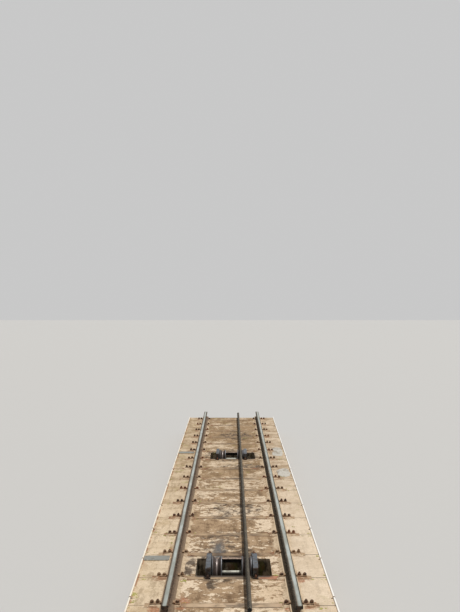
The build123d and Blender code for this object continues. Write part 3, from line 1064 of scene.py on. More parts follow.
# Mesh toolkit
class Shell:
    """Points and faces of a piece while it is being made."""

    def __init__(self) -> None:
        """Starts empty."""
        self.points: list[np.ndarray] = []
        self.faces: list[tuple[int, ...]] = []
        self.count = 0

    def add(self, points: np.ndarray, faces: Iterable[Sequence[int]]) -> Shell:
        """Adds points, and faces numbered among them."""
        points = np.asarray(points, float).reshape(-1, 3)
        self.faces += [tuple(i + self.count for i in face) for face in faces]
        self.points.append(points)
        self.count += len(points)
        return self

    def skin(self, rings: np.ndarray, along: bool = False, caps: bool = True) -> Shell:
        """Stretches faces over closed rings of equally many points.

        Args:
            rings: Array of rings, points and coordinates.
            along: Whether the last ring joins the first.
            caps: Whether the two ends are closed.

        Returns:
            This shell.
        """
        rows, columns = rings.shape[:2]
        faces: list[tuple[int, ...]] = []
        for row in range(rows if along else rows - 1):
            after = (row + 1) % rows
            for column in range(columns):
                beside = (column + 1) % columns
                ends = (row * columns + column, row * columns + beside)
                faces.append((*ends, after * columns + beside, after * columns + column))
        if caps and not along:
            faces.append(tuple(range(columns))[::-1])
            faces.append(tuple((rows - 1) * columns + column for column in range(columns)))
        return self.add(rings, faces)

    def lathe(self, profile: Sequence[Pair], centre: Point, turns: int = 48) -> Shell:
        """Turns a closed profile round an axis along X.

        Args:
            profile: Places along X and radii.
            centre: Point on the axis that the places start from.
            turns: Steps round the axis.

        Returns:
            This shell.
        """
        outline = np.array(profile)
        angles = np.arange(turns) * 2 * math.pi / turns
        rings = np.empty((turns, len(outline), 3))
        rings[:, :, 0] = outline[:, 0]
        rings[:, :, 1] = np.cos(angles)[:, None] * outline[:, 1]
        rings[:, :, 2] = np.sin(angles)[:, None] * outline[:, 1]
        return self.skin(rings + np.array(centre), along=True)

    def stack(self, layers: Sequence[Pair], sides: int) -> Shell:
        """Piles rings of one centre along Z: each layer is a height and a radius."""
        angles = np.arange(sides) * 2 * math.pi / sides
        rings = [[(r * math.cos(a), r * math.sin(a), z) for a in angles] for z, r in layers]
        return self.skin(np.array(rings))

    def extrude(self, outline: Sequence[Pair], low: float, high: float, axis: Axis) -> Shell:
        """Stretches a closed outline along X or Y.

        Args:
            outline: Points in Y and Z, or in X and Z.
            low: Where it starts.
            high: Where it ends.
            axis: The axis it stretches along.

        Returns:
            This shell.
        """
        if axis is Axis.X:
            rings = [[(x, u, v) for u, v in outline] for x in (low, high)]
        else:
            rings = [[(u, y, v) for u, v in outline] for y in (low, high)]
        return self.skin(np.array(rings))

    def tube(self, path: np.ndarray, radii: Sequence[float], sides: int) -> Shell:
        """Round bar along a path, of a radius at each of its points."""
        path = np.asarray(path, float)
        ahead = np.gradient(path, axis=0)
        ahead /= np.linalg.norm(ahead, axis=1)[:, None]
        level = np.array((0.0, 0.0, 1.0)) if abs(ahead[0][2]) < 0.8 else np.array((1.0, 0.0, 0.0))
        across = np.cross(ahead, level)
        across /= np.linalg.norm(across, axis=1)[:, None]
        other = np.cross(across, ahead)
        angles = np.arange(sides) * 2 * math.pi / sides
        circle = across[:, None] * np.cos(angles)[:, None]
        circle = circle + other[:, None] * np.sin(angles)[:, None]
        return self.skin(path[:, None] + circle * np.asarray(radii, float)[:, None, None])

    def stamp(self, template: Shell, matrices: Iterable[Matrix]) -> Shell:
        """Repeats a template at each matrix."""
        points = np.concatenate(template.points)
        for matrix in matrices:
            turn = np.array(matrix.to_3x3())
            self.add(points @ turn.T + np.array(matrix.translation), template.faces)
        return self

    def piece(
        self,
        name: str,
        finish: Finish,
        slot: str,
        body: str = TRACK,
        replaces: Sequence[str] = (),
        crease: float = 34.0,
        bevel: float = 0.0,
        origin: Point = (0.0, 0.0, 0.0),
    ) -> bpy.types.Object:
        """Turns the shell into a piece of the part.

        Args:
            name: Name of the piece.
            finish: Its finish.
            slot: Material slot of the record that it belongs to; not used.
            body: CAD body that it moves with.
            replaces: CAD nodes that it stands for.
            crease: Angle in degrees above which an edge stays sharp.
            bevel: Width of a bevel along sharp edges, in metres.
            origin: Place of the object, where its points are measured from.

        Returns:
            The piece.
        """
        mesh = bpy.data.meshes.new(name)
        mesh.from_pydata(np.concatenate(self.points).tolist(), [], self.faces)
        edit = bmesh.new()
        edit.from_mesh(mesh)
        bmesh.ops.remove_doubles(edit, verts=edit.verts, dist=2e-6)
        bmesh.ops.recalc_face_normals(edit, faces=edit.faces)
        edit.to_mesh(mesh)
        edit.free()
        mesh.shade_smooth()
        mesh.set_sharp_from_angle(angle=math.radians(crease))
        mesh.materials.append(finish.material())
        made = bpy.data.objects.new(name, mesh)
        made.location = origin
        bpy.context.scene.collection.objects.link(made)
        if bevel:
            round_off = made.modifiers.new("edges", "BEVEL")
            round_off.width = bevel
            round_off.segments = 2
            round_off.limit_method = "ANGLE"
            round_off.angle_limit = math.radians(40.0)
            round_off.harden_normals = True
        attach(made, body)
        if replaces:
            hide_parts(*replaces)
        log.info("%s: %d faces on %s", name, len(mesh.polygons), body)
        return made


def dress(node: str, finish: Finish) -> None:
    """Gives a CAD node its finish and keeps its shape."""
    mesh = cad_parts[node].data
    mesh.materials.clear()
    mesh.materials.append(finish.material())
    log.info("%s: CAD shape, %s", node, type(finish).__name__)


def evenly(low: float, high: float, step: float) -> list[float]:
    """Places from low up to high, not counting high, about a step apart."""
    count = max(1, round((high - low) / step))
    return [low + (high - low) * k / count for k in range(count)]


def arc(centre: Pair, radius: float, start: float, end: float, steps: int) -> list[Pair]:
    """Points on an arc.

    Args:
        centre: Its middle.
        radius: Its radius.
        start: First angle in degrees.
        end: Last angle in degrees.
        steps: Number of its parts.

    Returns:
        The points, both ends among them.
    """
    angles = [math.radians(start + (end - start) * k / steps) for k in range(steps + 1)]
    return [(centre[0] + radius * math.cos(a), centre[1] + radius * math.sin(a)) for a in angles]


def shift(x: float, y: float, z: float, turn: float = 0.0) -> Matrix:
    """Matrix of a move after a turn about Z."""
    return Matrix.Translation((x, y, z)) @ Matrix.Rotation(turn, 4, "Z")


# Sub-assemblies
@dataclass
class Bolt:
    """Hexagon nut on a washer with the end of its bolt, standing on Z = 0."""

    across: float = 30.0 * MM
    nut_height: float = 16.0 * MM
    washer: float = 18.0 * MM
    washer_height: float = 3.5 * MM
    thread: float = 10.0 * MM
    stub: float = 9.0 * MM

    def shell(self) -> Shell:
        """Washer, nut and thread end."""
        made = Shell()
        top = self.washer_height + self.nut_height
        corner = self.across / 2 / math.cos(math.pi / 6)
        made.stack([(-1.0 * MM, self.washer), (self.washer_height, self.washer)], 20)
        made.stack(
            [
                (self.washer_height, corner * 0.95),
                (self.washer_height + 1.2 * MM, corner),
                (top - 2.0 * MM, corner),
                (top, corner * 0.84),
            ],
            6,
        )
        end = top + self.stub
        stub = [(top - 0.5 * MM, self.thread), (end - 1.5 * MM, self.thread), (end, self.thread * 0.8)]
        made.stack(stub, 12)
        return made


class Level(Enum):
    """What lies at a place on top of the bed."""

    SLAB = 0
    RECESS = 1
    PIT = 2


class Wall(Enum):
    """Which rows of points a depth is counted in."""

    TOP = 0
    SIDE = 1
    PIT = 2


Row = tuple[Wall, int]


@dataclass
class ConcreteBed:
    """Cast bed in bays: a weathered top, recesses for the sleepers, sawn joints and two pits."""

    bays: tuple[tuple[str, float, float], ...] = (
        ("bed_near", -6.0, -4.875),
        ("bed_pit_1", -4.875, -4.125),
        ("bed_middle", -4.125, 1.125),
        ("bed_pit_2", 1.125, 1.875),
        ("bed_far", 1.875, 6.0),
    )
    joint_half: float = 3.0 * MM
    recess: float = 8.3 * MM
    cell: float = 30.0 * MM
    chip_reach: float = 15.0 * MM
    edge_cell: float = 5.0 * MM
    side_wave: float = 1.5 * MM
    pit_wave: float = 2.5 * MM
    side_depths: tuple[float, ...] = (0.060, 0.120, 0.180, 0.240, 0.300, BED_TOP)
    pit_depths: tuple[float, ...] = (0.010, 0.045, 0.100, 0.160, 0.220, PIT_DEPTH)
    finish: Finish = field(default_factory=Concrete)

    def build(self) -> None:
        """Makes every bay."""
        for node, low, high in self.bays:
            shell = self._bay(low, high)
            shell.piece(f"{node}_cast", self.finish, "concrete", replaces=(node,))

    def level(self, x: float, y: float) -> Level:
        """What lies at the middle of a cell."""
        aside = abs(y - nearest_sleeper(y))
        if abs(x) < SLEEPER_HALF_LENGTH and aside < SLEEPER_HALF_WIDTH:
            return Level.RECESS
        if abs(x) > SLEEPER_HALF_LENGTH and aside < self.joint_half:
            return Level.RECESS
        for start in STATIONS.values():
            in_length = 0 < y - start - PIT_NEAR < PIT_LENGTH
            if in_length and abs(x - PIT_MIDDLE_X) < PIT_HALF_WIDTH:
                return Level.PIT
        return Level.SLAB

    def point(self, x: float, y: float, wall: Wall, row: int) -> Point:
        """Weathered place of a grid point."""
        if wall is Wall.TOP:
            return self._top(x, y) if row == 0 else (x, y, BED_TOP - self.recess)
        depths = self.side_depths if wall is Wall.SIDE else self.pit_depths
        depth = depths[row]
        waves = 0.0 if row == len(depths) - 1 else 1.0
        if wall is Wall.SIDE:
            inward = self.side_wave * (0.5 + 0.5 * wander(x, y, depth, 0.12)) * waves
            x, y = self._drawn_in(x, y, inward)
        else:
            bulge = self.pit_wave * wander(x, y, depth, 0.10) * waves
            if abs(abs(x - PIT_MIDDLE_X) - PIT_HALF_WIDTH) < SAME:
                x += bulge
            if any(abs(y - end) < SAME for end in PIT_ENDS):
                y += bulge
        return (x, y, BED_TOP - depth)

    @staticmethod
    def _drawn_in(x: float, y: float, by: float) -> Pair:
        """Moves a place inwards where it lies on an outer face of the bed."""
        if HALF_WIDTH - abs(x) < SAME:
            x -= math.copysign(by, x)
        if HALF_LENGTH - abs(y) < SAME:
            y -= math.copysign(by, y)
        return x, y

    def _lines(
        self, breaks: Sequence[float], low: float, high: float, worn: Sequence[float]
    ) -> list[float]:
        """Grid lines between breaks, with close ones beside each edge that wears."""
        fixed = sorted({low, high, *(b for b in breaks if low < b < high)})
        places: set[float] = set()
        for start, end in zip(fixed, fixed[1:]):
            places.update(evenly(start, end, self.cell))
        places.add(high)
        for edge in worn:
            for offset in (-self.chip_reach, -self.edge_cell, self.edge_cell, self.chip_reach):
                if low < edge + offset < high:
                    places.add(edge + offset)
        tidy: list[float] = []
        for place in sorted(places):
            near_break = any(abs(place - f) < 2.0 * MM and place != f for f in fixed)
            if not near_break and (not tidy or place - tidy[-1] > 1.0 * MM):
                tidy.append(place)
        return tidy

    def _edge_distance(self, x: float, y: float) -> float:
        """Distance from the nearest edge that chips."""
        distances = [HALF_WIDTH - abs(x), HALF_LENGTH - abs(y)]
        if abs(x) > SLEEPER_HALF_LENGTH:
            distances.append(abs(abs(y - nearest_sleeper(y)) - self.joint_half))
        for start in STATIONS.values():
            middle = start + PIT_NEAR + PIT_LENGTH / 2
            out_x = abs(x - PIT_MIDDLE_X) - PIT_HALF_WIDTH
            out_y = abs(y - middle) - PIT_LENGTH / 2
            distances.append(math.hypot(max(out_x, 0.0), max(out_y, 0.0)))
        return max(min(distances), 0.0)

    def _top(self, x: float, y: float) -> Point:
        """Weathered point of the slab's top, lower between the rails and chipped at the edges."""
        lumps = wander(x, y, 0.0, 0.45)
        inner = 1.0 if abs(x) < 0.48 else 0.0
        drop = 0.9 * MM + (0.7 + 0.6 * inner) * MM * lumps + inner * 0.8 * MM
        near = max(0.0, 1.0 - self._edge_distance(x, y) / self.chip_reach)
        chip = near**1.4 * (1.6 * MM + 9.0 * MM * max(0.0, wander(x, y, 5.0, 0.09) - 0.05))
        drop = max(drop, 0.15 * MM) + chip
        return (*self._drawn_in(x, y, chip * 0.8), BED_TOP - drop)

    def _bay(self, low: float, high: float) -> Shell:
        """One bay as a closed shell.

        Args:
            low: Its near end.
            high: Its far end.

        Returns:
            The shell.
        """
        sleepers = [sleeper_y(k) for k in range(SLEEPER_COUNT)]
        has_pit = any(low < y < high for y in PIT_ENDS)
        pit_x = [PIT_MIDDLE_X - PIT_HALF_WIDTH, PIT_MIDDLE_X + PIT_HALF_WIDTH] if has_pit else []
        half_seats = (SLEEPER_HALF_WIDTH, self.joint_half)
        seats = [y + sign * half for y in sleepers for half in half_seats for sign in (-1, 1)]
        ends = [y for y in (-HALF_LENGTH, HALF_LENGTH) if low <= y <= high]
        breaks_x = [-SLEEPER_HALF_LENGTH, SLEEPER_HALF_LENGTH, *pit_x]
        worn_x = [-HALF_WIDTH, HALF_WIDTH, *pit_x]
        grid = BayGrid(
            self,
            self._lines(breaks_x, -HALF_WIDTH, HALF_WIDTH, worn_x),
            self._lines([*seats, *PIT_ENDS], low, high, [*ends, *PIT_ENDS, *sleepers]),
        )
        grid.tops()
        grid.rim()
        grid.base()
        return Shell().add(np.array(grid.points), grid.faces)


class BayGrid:
    """Points and faces of one bay while they are being made."""

    def __init__(self, bed: ConcreteBed, xs: Sequence[float], ys: Sequence[float]) -> None:
        """Starts without points."""
        self.bed = bed
        self.xs = xs
        self.ys = ys
        self.columns = len(xs) - 1
        self.rows = len(ys) - 1
        self.points: list[Point] = []
        self.faces: list[tuple[int, ...]] = []
        self.numbers: dict[tuple[int, int, Wall, int], int] = {}
        self.side_rows = [(Wall.TOP, 1)] + [(Wall.SIDE, row) for row in range(len(bed.side_depths))]
        self.pit_rows = [(Wall.TOP, 0)] + [(Wall.PIT, row) for row in range(len(bed.pit_depths))]
        middles_y = [(near + far) / 2 for near, far in zip(ys, ys[1:])]
        self.levels = [[bed.level((a + b) / 2, y) for y in middles_y] for a, b in zip(xs, xs[1:])]

    def corner(self, i: int, j: int, wall: Wall, row: int) -> int:
        """Number of a grid point at one row, made when it is first asked for."""
        key = (i, j, wall, row)
        if key not in self.numbers:
            self.numbers[key] = len(self.points)
            self.points.append(self.bed.point(self.xs[i], self.ys[j], wall, row))
        return self.numbers[key]

    def walls(self, a: Cell, b: Cell, rows: Sequence[Row]) -> None:
        """Adds the faces that go down from one grid edge."""
        for upper, lower in zip(rows, rows[1:]):
            corners = ((a, upper), (b, upper), (b, lower), (a, lower))
            self.faces.append(tuple(self.corner(*place, *row) for place, row in corners))

    def tops(self) -> None:
        """Adds the top, the floors of recesses and pits, and the walls between them."""
        floors = {Level.SLAB: (Wall.TOP, 0), Level.RECESS: (Wall.TOP, 1), Level.PIT: self.pit_rows[-1]}
        for i in range(self.columns):
            for j in range(self.rows):
                here = self.levels[i][j]
                around = ((i, j), (i + 1, j), (i + 1, j + 1), (i, j + 1))
                self.faces.append(tuple(self.corner(*place, *floors[here]) for place in around))
                if i + 1 < self.columns:
                    self._step({here, self.levels[i + 1][j]}, around[1], around[2])
                if j + 1 < self.rows:
                    self._step({here, self.levels[i][j + 1]}, around[3], around[2])

    def _step(self, pair: set[Level], a: Cell, b: Cell) -> None:
        """Adds the wall between two cells where one is the slab."""
        if pair == {Level.SLAB, Level.RECESS}:
            self.walls(a, b, [(Wall.TOP, 0), (Wall.TOP, 1)])
        elif pair == {Level.SLAB, Level.PIT}:
            self.walls(a, b, self.pit_rows)

    def rim(self) -> None:
        """Adds the bay's outer faces."""
        edges = [((i, j), (i + 1, j)) for i in range(self.columns) for j in (0, self.rows)]
        edges += [((i, j), (i, j + 1)) for j in range(self.rows) for i in (0, self.columns)]
        for a, b in edges:
            level = self.levels[min(a[0], self.columns - 1)][min(a[1], self.rows - 1)]
            first = [(Wall.TOP, 0)] if level is Level.SLAB else []
            self.walls(a, b, first + self.side_rows)

    def base(self) -> None:
        """Adds the underside."""
        lowest = self.side_rows[-1]
        for j in range(self.rows):
            near = range(self.columns + 1) if j == 0 else (0, self.columns)
            far = range(self.columns, -1, -1) if j == self.rows - 1 else (self.columns, 0)
            ring = [self.corner(i, j, *lowest) for i in near]
            ring += [self.corner(i, j + 1, *lowest) for i in far]
            self.faces.append(tuple(ring))


@dataclass
class RunningRail:
    """One rail with its base plates, forged clips and bolts at every sleeper."""

    side: Side
    clip_half: float = 28.0 * MM
    outer_bolts: tuple[float, ...] = (87.0 * MM, 138.0 * MM)
    inner_bolt: float = 87.0 * MM
    stubs: tuple[float, ...] = (2.0 * MM, 6.0 * MM, 12.0 * MM)
    pad: float = 15.0 * MM
    weld: float = 4.0 * MM
    weld_ends: Pair = (-0.112, 0.160)

    def build(self) -> None:
        """Dresses the rail and its plates, and makes the clips and bolts."""
        word = self.side.word
        dress(f"rail_{word}", RailSteel())
        dress(f"base_plates_{word}", RustyForging(0.95))
        self._clips().piece(
            f"forged_clips_{word}",
            RustyForging(0.8),
            "fastening_steel",
            replaces=(f"rail_clips_{word}",),
            bevel=1.8 * MM,
        )
        self._bolts().piece(f"rail_bolts_{word}", RustyForging(), "fastening_steel")
        welds = self._welds()
        welds.piece(f"plate_welds_{word}", RustyForging(0.8), "fastening_steel", crease=60.0)

    def _clips(self) -> Shell:
        """Outer and inner clips, nose on the rail's foot and heel on the plate."""
        nose = [(0.0455, 0.0240), (0.0436, 0.0195), (0.0433, 0.0130)]
        nose += [(0.0614, 0.0083), (0.0614, 0.0)]
        pad = self.pad
        hump = [(0.0690, pad), (0.0650, 0.0215), (0.0605, 0.0245), (0.052, 0.0256)]
        outer = nose + [(0.157, 0.0), (0.157, 0.009), (0.154, 0.0130), (0.150, pad)] + hump
        inner = nose + [(0.108, 0.0), (0.108, 0.0115), (0.105, pad)] + hump
        made = Shell()
        sign = self.side.value
        for k in range(SLEEPER_COUNT):
            middle = sleeper_y(k)
            for outline, out in ((outer, sign), (inner, -sign)):
                placed = [(sign * RAIL_X + out * u, RAIL_BASE + v) for u, v in outline]
                made.extrude(placed, middle - self.clip_half, middle + self.clip_half, Axis.Y)
        return made

    def _bolts(self) -> Shell:
        """Nuts on the clips' pads, each turned its own way."""
        dice = random.Random(11 + self.side.value)
        sign = self.side.value
        places = [sign * (RAIL_X + reach) for reach in self.outer_bolts]
        places.append(sign * (RAIL_X - self.inner_bolt))
        seats: dict[float, list[Matrix]] = {stub: [] for stub in self.stubs}
        for k in range(SLEEPER_COUNT):
            for x in places:
                aside, turn = dice.uniform(-1, 1) * MM, dice.uniform(0, math.pi)
                seat = shift(x, sleeper_y(k) + aside, RAIL_BASE + self.pad, turn)
                seats[dice.choice(self.stubs)].append(seat)
        made = Shell()
        for stub, matrices in seats.items():
            made.stamp(Bolt(stub=stub).shell(), matrices)
        return made

    def _welds(self) -> Shell:
        """Weld beads along both long edges of each base plate."""
        made = Shell()
        sign = self.side.value
        low, high = (sign * (RAIL_X + end) for end in self.weld_ends)
        for k in range(SLEEPER_COUNT):
            for edge in (-1, 1):
                y = sleeper_y(k) + edge * PLATE_HALF_LENGTH
                places = np.linspace(low, high, 26)
                path = np.array([(x, y, BED_TOP + 1.2 * MM) for x in places])
                radii = [self.weld * (0.72 + 0.2 * wander(x, y, 3.0, 0.012, 2)) for x in places]
                made.tube(path, radii, 6)
        return made


@dataclass
class HaulRope:
    """Six strands laid round a core."""

    radius: float = 22.0 * MM
    strand: float = 7.25 * MM
    core: float = 8.5 * MM
    lay: float = 0.285
    strands: int = 6
    steps_per_lay: int = 20
    sides: int = 8

    def build(self) -> None:
        """Makes the rope from end to end."""
        made = Shell()
        steps = math.ceil(2 * HALF_LENGTH / self.lay * self.steps_per_lay)
        along = np.linspace(-HALF_LENGTH, HALF_LENGTH, steps + 1)
        reach = self.radius - self.strand
        turn = np.arange(self.sides) * 2 * math.pi / self.sides
        for number in range(self.strands):
            angle = 2 * math.pi * (number / self.strands + along / self.lay)
            middle_x = SHEAVE_X + reach * np.cos(angle)
            middle_z = ROPE_Z + reach * np.sin(angle)
            middle = np.stack([middle_x, along, middle_z], axis=1)
            both = angle[:, None] + turn
            rings = np.stack([np.cos(both), np.zeros_like(both), np.sin(both)], axis=2)
            made.skin(middle[:, None] + rings * self.strand)
        path = np.array([(SHEAVE_X, y, ROPE_Z) for y in np.linspace(-HALF_LENGTH, HALF_LENGTH, 9)])
        made.tube(path, [self.core] * len(path), 10)
        made.piece(
            "haul_rope_strands", RopeWire(), "rope_wire", replaces=("haul_rope",), crease=70.0
        )


@dataclass
class SheaveWheel:
    """Grooved wheel with a bush, on its own body."""

    side: Side
    station: int
    half_width: float = 50.0 * MM
    rim: float = 170.0 * MM
    rim_inner: float = 114.0 * MM
    half_web: float = 9.0 * MM
    hub: float = 50.0 * MM
    bush: float = 33.0 * MM
    bore: float = 25.05 * MM
    hole: float = 20.0 * MM
    hole_circle: float = 82.0 * MM
    holes: int = 6
    fillet: float = 9.0 * MM
    nipple: tuple[Pair, ...] = (
        (0.0, 5 * MM),
        (4 * MM, 5 * MM),
        (4.2 * MM, 3 * MM),
        (9 * MM, 3 * MM),
        (11 * MM, 2 * MM),
        (12 * MM, 0.8 * MM),
    )

    def build(self) -> None:
        """Makes the wheel, its bush and its grease nipples."""
        tag = f"{self.side.word}_{self.station}"
        body = f"sheave_{tag}_body"
        centre = (self.side.value * SHEAVE_X, shaft_y(self.station), SHAFT_Z)
        shell = Shell().lathe(self._profile(), (0.0, 0.0, 0.0), 96)
        wheel = shell.piece(
            f"grooved_wheel_{tag}",
            SheaveIron(),
            "sheave_iron",
            body,
            (f"sheave_{tag}",),
            crease=30.0,
            origin=centre,
        )
        self._drill(wheel)
        wall = [
            (-self.half_width, self.bore),
            (self.half_width, self.bore),
            (self.half_width, self.bush - 1.0 * MM),
            (self.half_width - 1.0 * MM, self.bush),
            (1.0 * MM - self.half_width, self.bush),
            (-self.half_width, self.bush - 1.0 * MM),
        ]
        bronze = PlainMetal(paint(170, 130, 78), grime=0.7)
        Shell().lathe(wall, (0.0, 0.0, 0.0), 48).piece(
            f"bush_ring_{tag}", bronze, "sheave_iron", body, crease=30.0, origin=centre
        )
        turned = Matrix.Rotation(math.radians(30), 4, "X")
        seats = [turned @ shift(out * 30.0 * MM, 0.0, self.hub - 1.0 * MM) for out in (1, -1)]
        steel = PlainMetal(paint(160, 156, 146), grime=0.3)
        Shell().stamp(Shell().stack(self.nipple, 10), seats).piece(
            f"grease_nipples_{tag}", steel, "shaft_steel", body, origin=centre
        )

    def _profile(self) -> list[Pair]:
        """Closed half section: hub, web, rim, lip and rounded groove, then back."""
        w, f = self.half_width, self.fillet
        right = [(0.0, 0.1420), (0.006, 0.1428), (0.012, 0.1452), (0.017, 0.1490), (0.022, 0.1542)]
        right += [(0.030, 0.1618), (0.0365, 0.1683), (0.0400, self.rim), (w - 3 * MM, self.rim)]
        right += [(w - 0.9 * MM, self.rim - 0.9 * MM), (w, self.rim - 3 * MM)]
        right += [(w, self.rim_inner + 2 * MM), (w - 2 * MM, self.rim_inner)]
        right += [(self.half_web + f, self.rim_inner)]
        right += arc((self.half_web + f, self.rim_inner - f), f, 90, 180, 4)[1:]
        right += arc((self.half_web + f, self.hub + f), f, 180, 270, 4)
        right += [(w - 2 * MM, self.hub), (w, self.hub - 2 * MM), (w, self.bush)]
        left = [(-x, r) for x, r in reversed(right[1:])]
        return left + right

    def _drill(self, wheel: bpy.types.Object) -> None:
        """Cuts the round holes through the web and keeps the result as the mesh."""
        cutters = Shell()
        for k in range(self.holes):
            angle = math.radians(60 * k)
            middle = (self.hole_circle * math.cos(angle), self.hole_circle * math.sin(angle))
            cutters.extrude(arc(middle, self.hole, 0, 350, 35), -0.02, 0.02, Axis.X)
        mesh = bpy.data.meshes.new("drill")
        mesh.from_pydata(np.concatenate(cutters.points).tolist(), [], cutters.faces)
        edit = bmesh.new()
        edit.from_mesh(mesh)
        bmesh.ops.recalc_face_normals(edit, faces=edit.faces)
        edit.to_mesh(mesh)
        edit.free()
        drill = bpy.data.objects.new("drill", mesh)
        bpy.context.scene.collection.objects.link(drill)
        drill.location = wheel.location
        cut = wheel.modifiers.new("holes", "BOOLEAN")
        cut.operation = "DIFFERENCE"
        cut.object = drill
        cut.solver = "EXACT"
        bpy.context.view_layer.update()
        evaluated = wheel.evaluated_get(bpy.context.evaluated_depsgraph_get())
        cut_mesh = bpy.data.meshes.new_from_object(evaluated)
        wheel.modifiers.clear()
        wheel.data = cut_mesh
        cut_mesh.shade_smooth()
        cut_mesh.set_sharp_from_angle(angle=math.radians(30.0))
        bpy.data.objects.remove(drill)


@dataclass
class SheaveStation:
    """Two sheaves on one shaft between side frames, over a pit."""

    station: int
    flange: float = 50.0 * MM
    strip_half: float = 5.0 * MM
    hanger_span: float = 370.0 * MM
    hanger_radius: float = 58.0 * MM
    boss: float = 46.0 * MM
    bore: float = 25.2 * MM
    bend: float = 15.0 * MM
    silt: float = 9.0 * MM
    silt_bank: Pair = (0.018, 0.07)
    boss_length: float = 6.5 * MM
    web_bead: float = 3.2 * MM
    boss_bead: float = 2.6 * MM
    foot_bolts: tuple[float, ...] = (-0.033, 0.690, 0.748)
    foot_bolt_x: float = 0.231
    keeper_bolt: Point = (0.225, 0.034, 0.036)
    strip_route: tuple[Pair, ...] = (
        (-0.050, 0.005),
        (-0.010, 0.005),
        (-0.010, 0.091),
        (0.4611, 0.091),
        (0.6461, 0.005),
        (0.780, 0.005),
    )

    def build(self) -> None:
        """Makes or dresses everything in the station."""
        n = self.station
        for side in Side:
            tag = f"{side.word}_{n}"
            self._frame(side).piece(
                f"welded_frame_{tag}",
                FramePaint(),
                "frame_steel",
                replaces=(f"side_frame_{tag}",),
                bevel=1.2 * MM,
            )
            self._beads(side).piece(f"frame_welds_{tag}", FramePaint(), "frame_steel", crease=60.0)
            SheaveWheel(side, n).build()
        self._bolts().piece(f"frame_bolts_{n}", RustyForging(), "fastening_steel")
        dress(f"cross_tie_{n}", FramePaint(dusty=0.85))
        dress(f"sheave_shaft_{n}", PlainMetal(paint(120, 116, 108), grime=0.8))
        dress(f"shaft_keepers_{n}", RustyForging())
        dress(f"spacer_tube_{n}", SpacerPaint())
        self._sludge().piece(f"pit_silt_{n}", Silt(), "concrete", crease=80.0)

    def _strip(self) -> list[Pair]:
        """Outline of the bent flange in Y and Z, from the sleeper and the bed's top."""
        route = self.strip_route
        middle: list[Vector] = [Vector(route[0])]
        for before, here, after in zip(route, route[1:], route[2:]):
            back = (Vector(before) - Vector(here)).normalized()
            on = (Vector(after) - Vector(here)).normalized()
            turn = math.pi - back.angle(on)
            reach = self.bend * math.tan(turn / 2)
            start, end = Vector(here) + back * reach, Vector(here) + on * reach
            for k in range(6):
                share = k / 5
                first, second = start.lerp(Vector(here), share), Vector(here).lerp(end, share)
                middle.append(first.lerp(second, share))
        middle.append(Vector(route[-1]))
        upper: list[Pair] = []
        lower: list[Pair] = []
        for k, point in enumerate(middle):
            ahead = (middle[min(k + 1, len(middle) - 1)] - middle[max(k - 1, 0)]).normalized()
            across = Vector((-ahead.y, ahead.x)) * self.strip_half
            upper.append(tuple(point + across))
            lower.append(tuple(point - across))
        return upper + lower[::-1]

    def _web(self) -> list[Pair]:
        """Outline of the web plate and the hanger that reaches down to the shaft."""
        middle = PIT_NEAR + PIT_LENGTH / 2
        drop = SHAFT_Z - BED_TOP
        half = self.hanger_span / 2
        corner = Vector((half, -drop))
        rise = math.atan2(corner.y, corner.x)
        lean = math.degrees(rise - math.acos(self.hanger_radius / corner.length))
        round_end = arc((middle, drop), self.hanger_radius, lean, -180 - lean, 18)
        plate = [(-0.006, 0.0), (-0.006, 0.087), (0.460, 0.087), (0.645, 0.0)]
        return plate + [(middle + half, 0.0)] + round_end + [(middle - half, 0.0)]

    def _frame(self, side: Side) -> Shell:
        """Flange strip, web plate and boss of one side."""
        start, sign = STATIONS[self.station], side.value
        low, high = sorted((sign * FRAME_INNER, sign * (FRAME_INNER + self.flange)))
        made = Shell()
        made.extrude([(start + u, BED_TOP + v) for u, v in self._strip()], low, high, Axis.X)
        low, high = sorted((sign * FRAME_INNER, sign * FRAME_OUTER))
        made.extrude([(start + u, BED_TOP + v) for u, v in self._web()], low, high, Axis.X)
        inner = sign * (FRAME_INNER - self.boss_length)
        outer = sign * FRAME_INNER
        ring = [(inner, self.bore), (outer, self.bore), (outer, self.boss), (inner, self.boss)]
        made.lathe(ring, (0.0, shaft_y(self.station), SHAFT_Z), 40)
        return made

    def _beads(self, side: Side) -> Shell:
        """Weld beads in the corner between web and flange, and round the boss."""
        start, sign = STATIONS[self.station], side.value
        x = sign * (FRAME_OUTER + 0.5 * MM)
        route = [(-0.0045, 0.004), (-0.0045, 0.0855), (0.460, 0.0855), (0.640, 0.002)]
        path: list[Point] = []
        for (u, v), (u2, v2) in zip(route, route[1:]):
            steps = max(2, int(math.hypot(u2 - u, v2 - v) / 0.009))
            for k in range(steps):
                along, up = (u2 - u) * k / steps, (v2 - v) * k / steps
                path.append((x, start + u + along, BED_TOP + v + up))
        made = Shell()
        made.tube(np.array(path), self._beading(path, self.web_bead), 6)
        ring = arc((shaft_y(self.station), SHAFT_Z), self.boss + 0.5 * MM, 0, 353, 50)
        path = [(sign * (FRAME_INNER - 0.5 * MM), u, v) for u, v in ring]
        return made.tube(np.array(path), self._beading(path, self.boss_bead), 6)

    @staticmethod
    def _beading(path: Sequence[Point], radius: float) -> list[float]:
        """Uneven radii of a weld bead along its path."""
        return [radius * (1 + 0.25 * wander(*place, 0.012, 2)) for place in path]

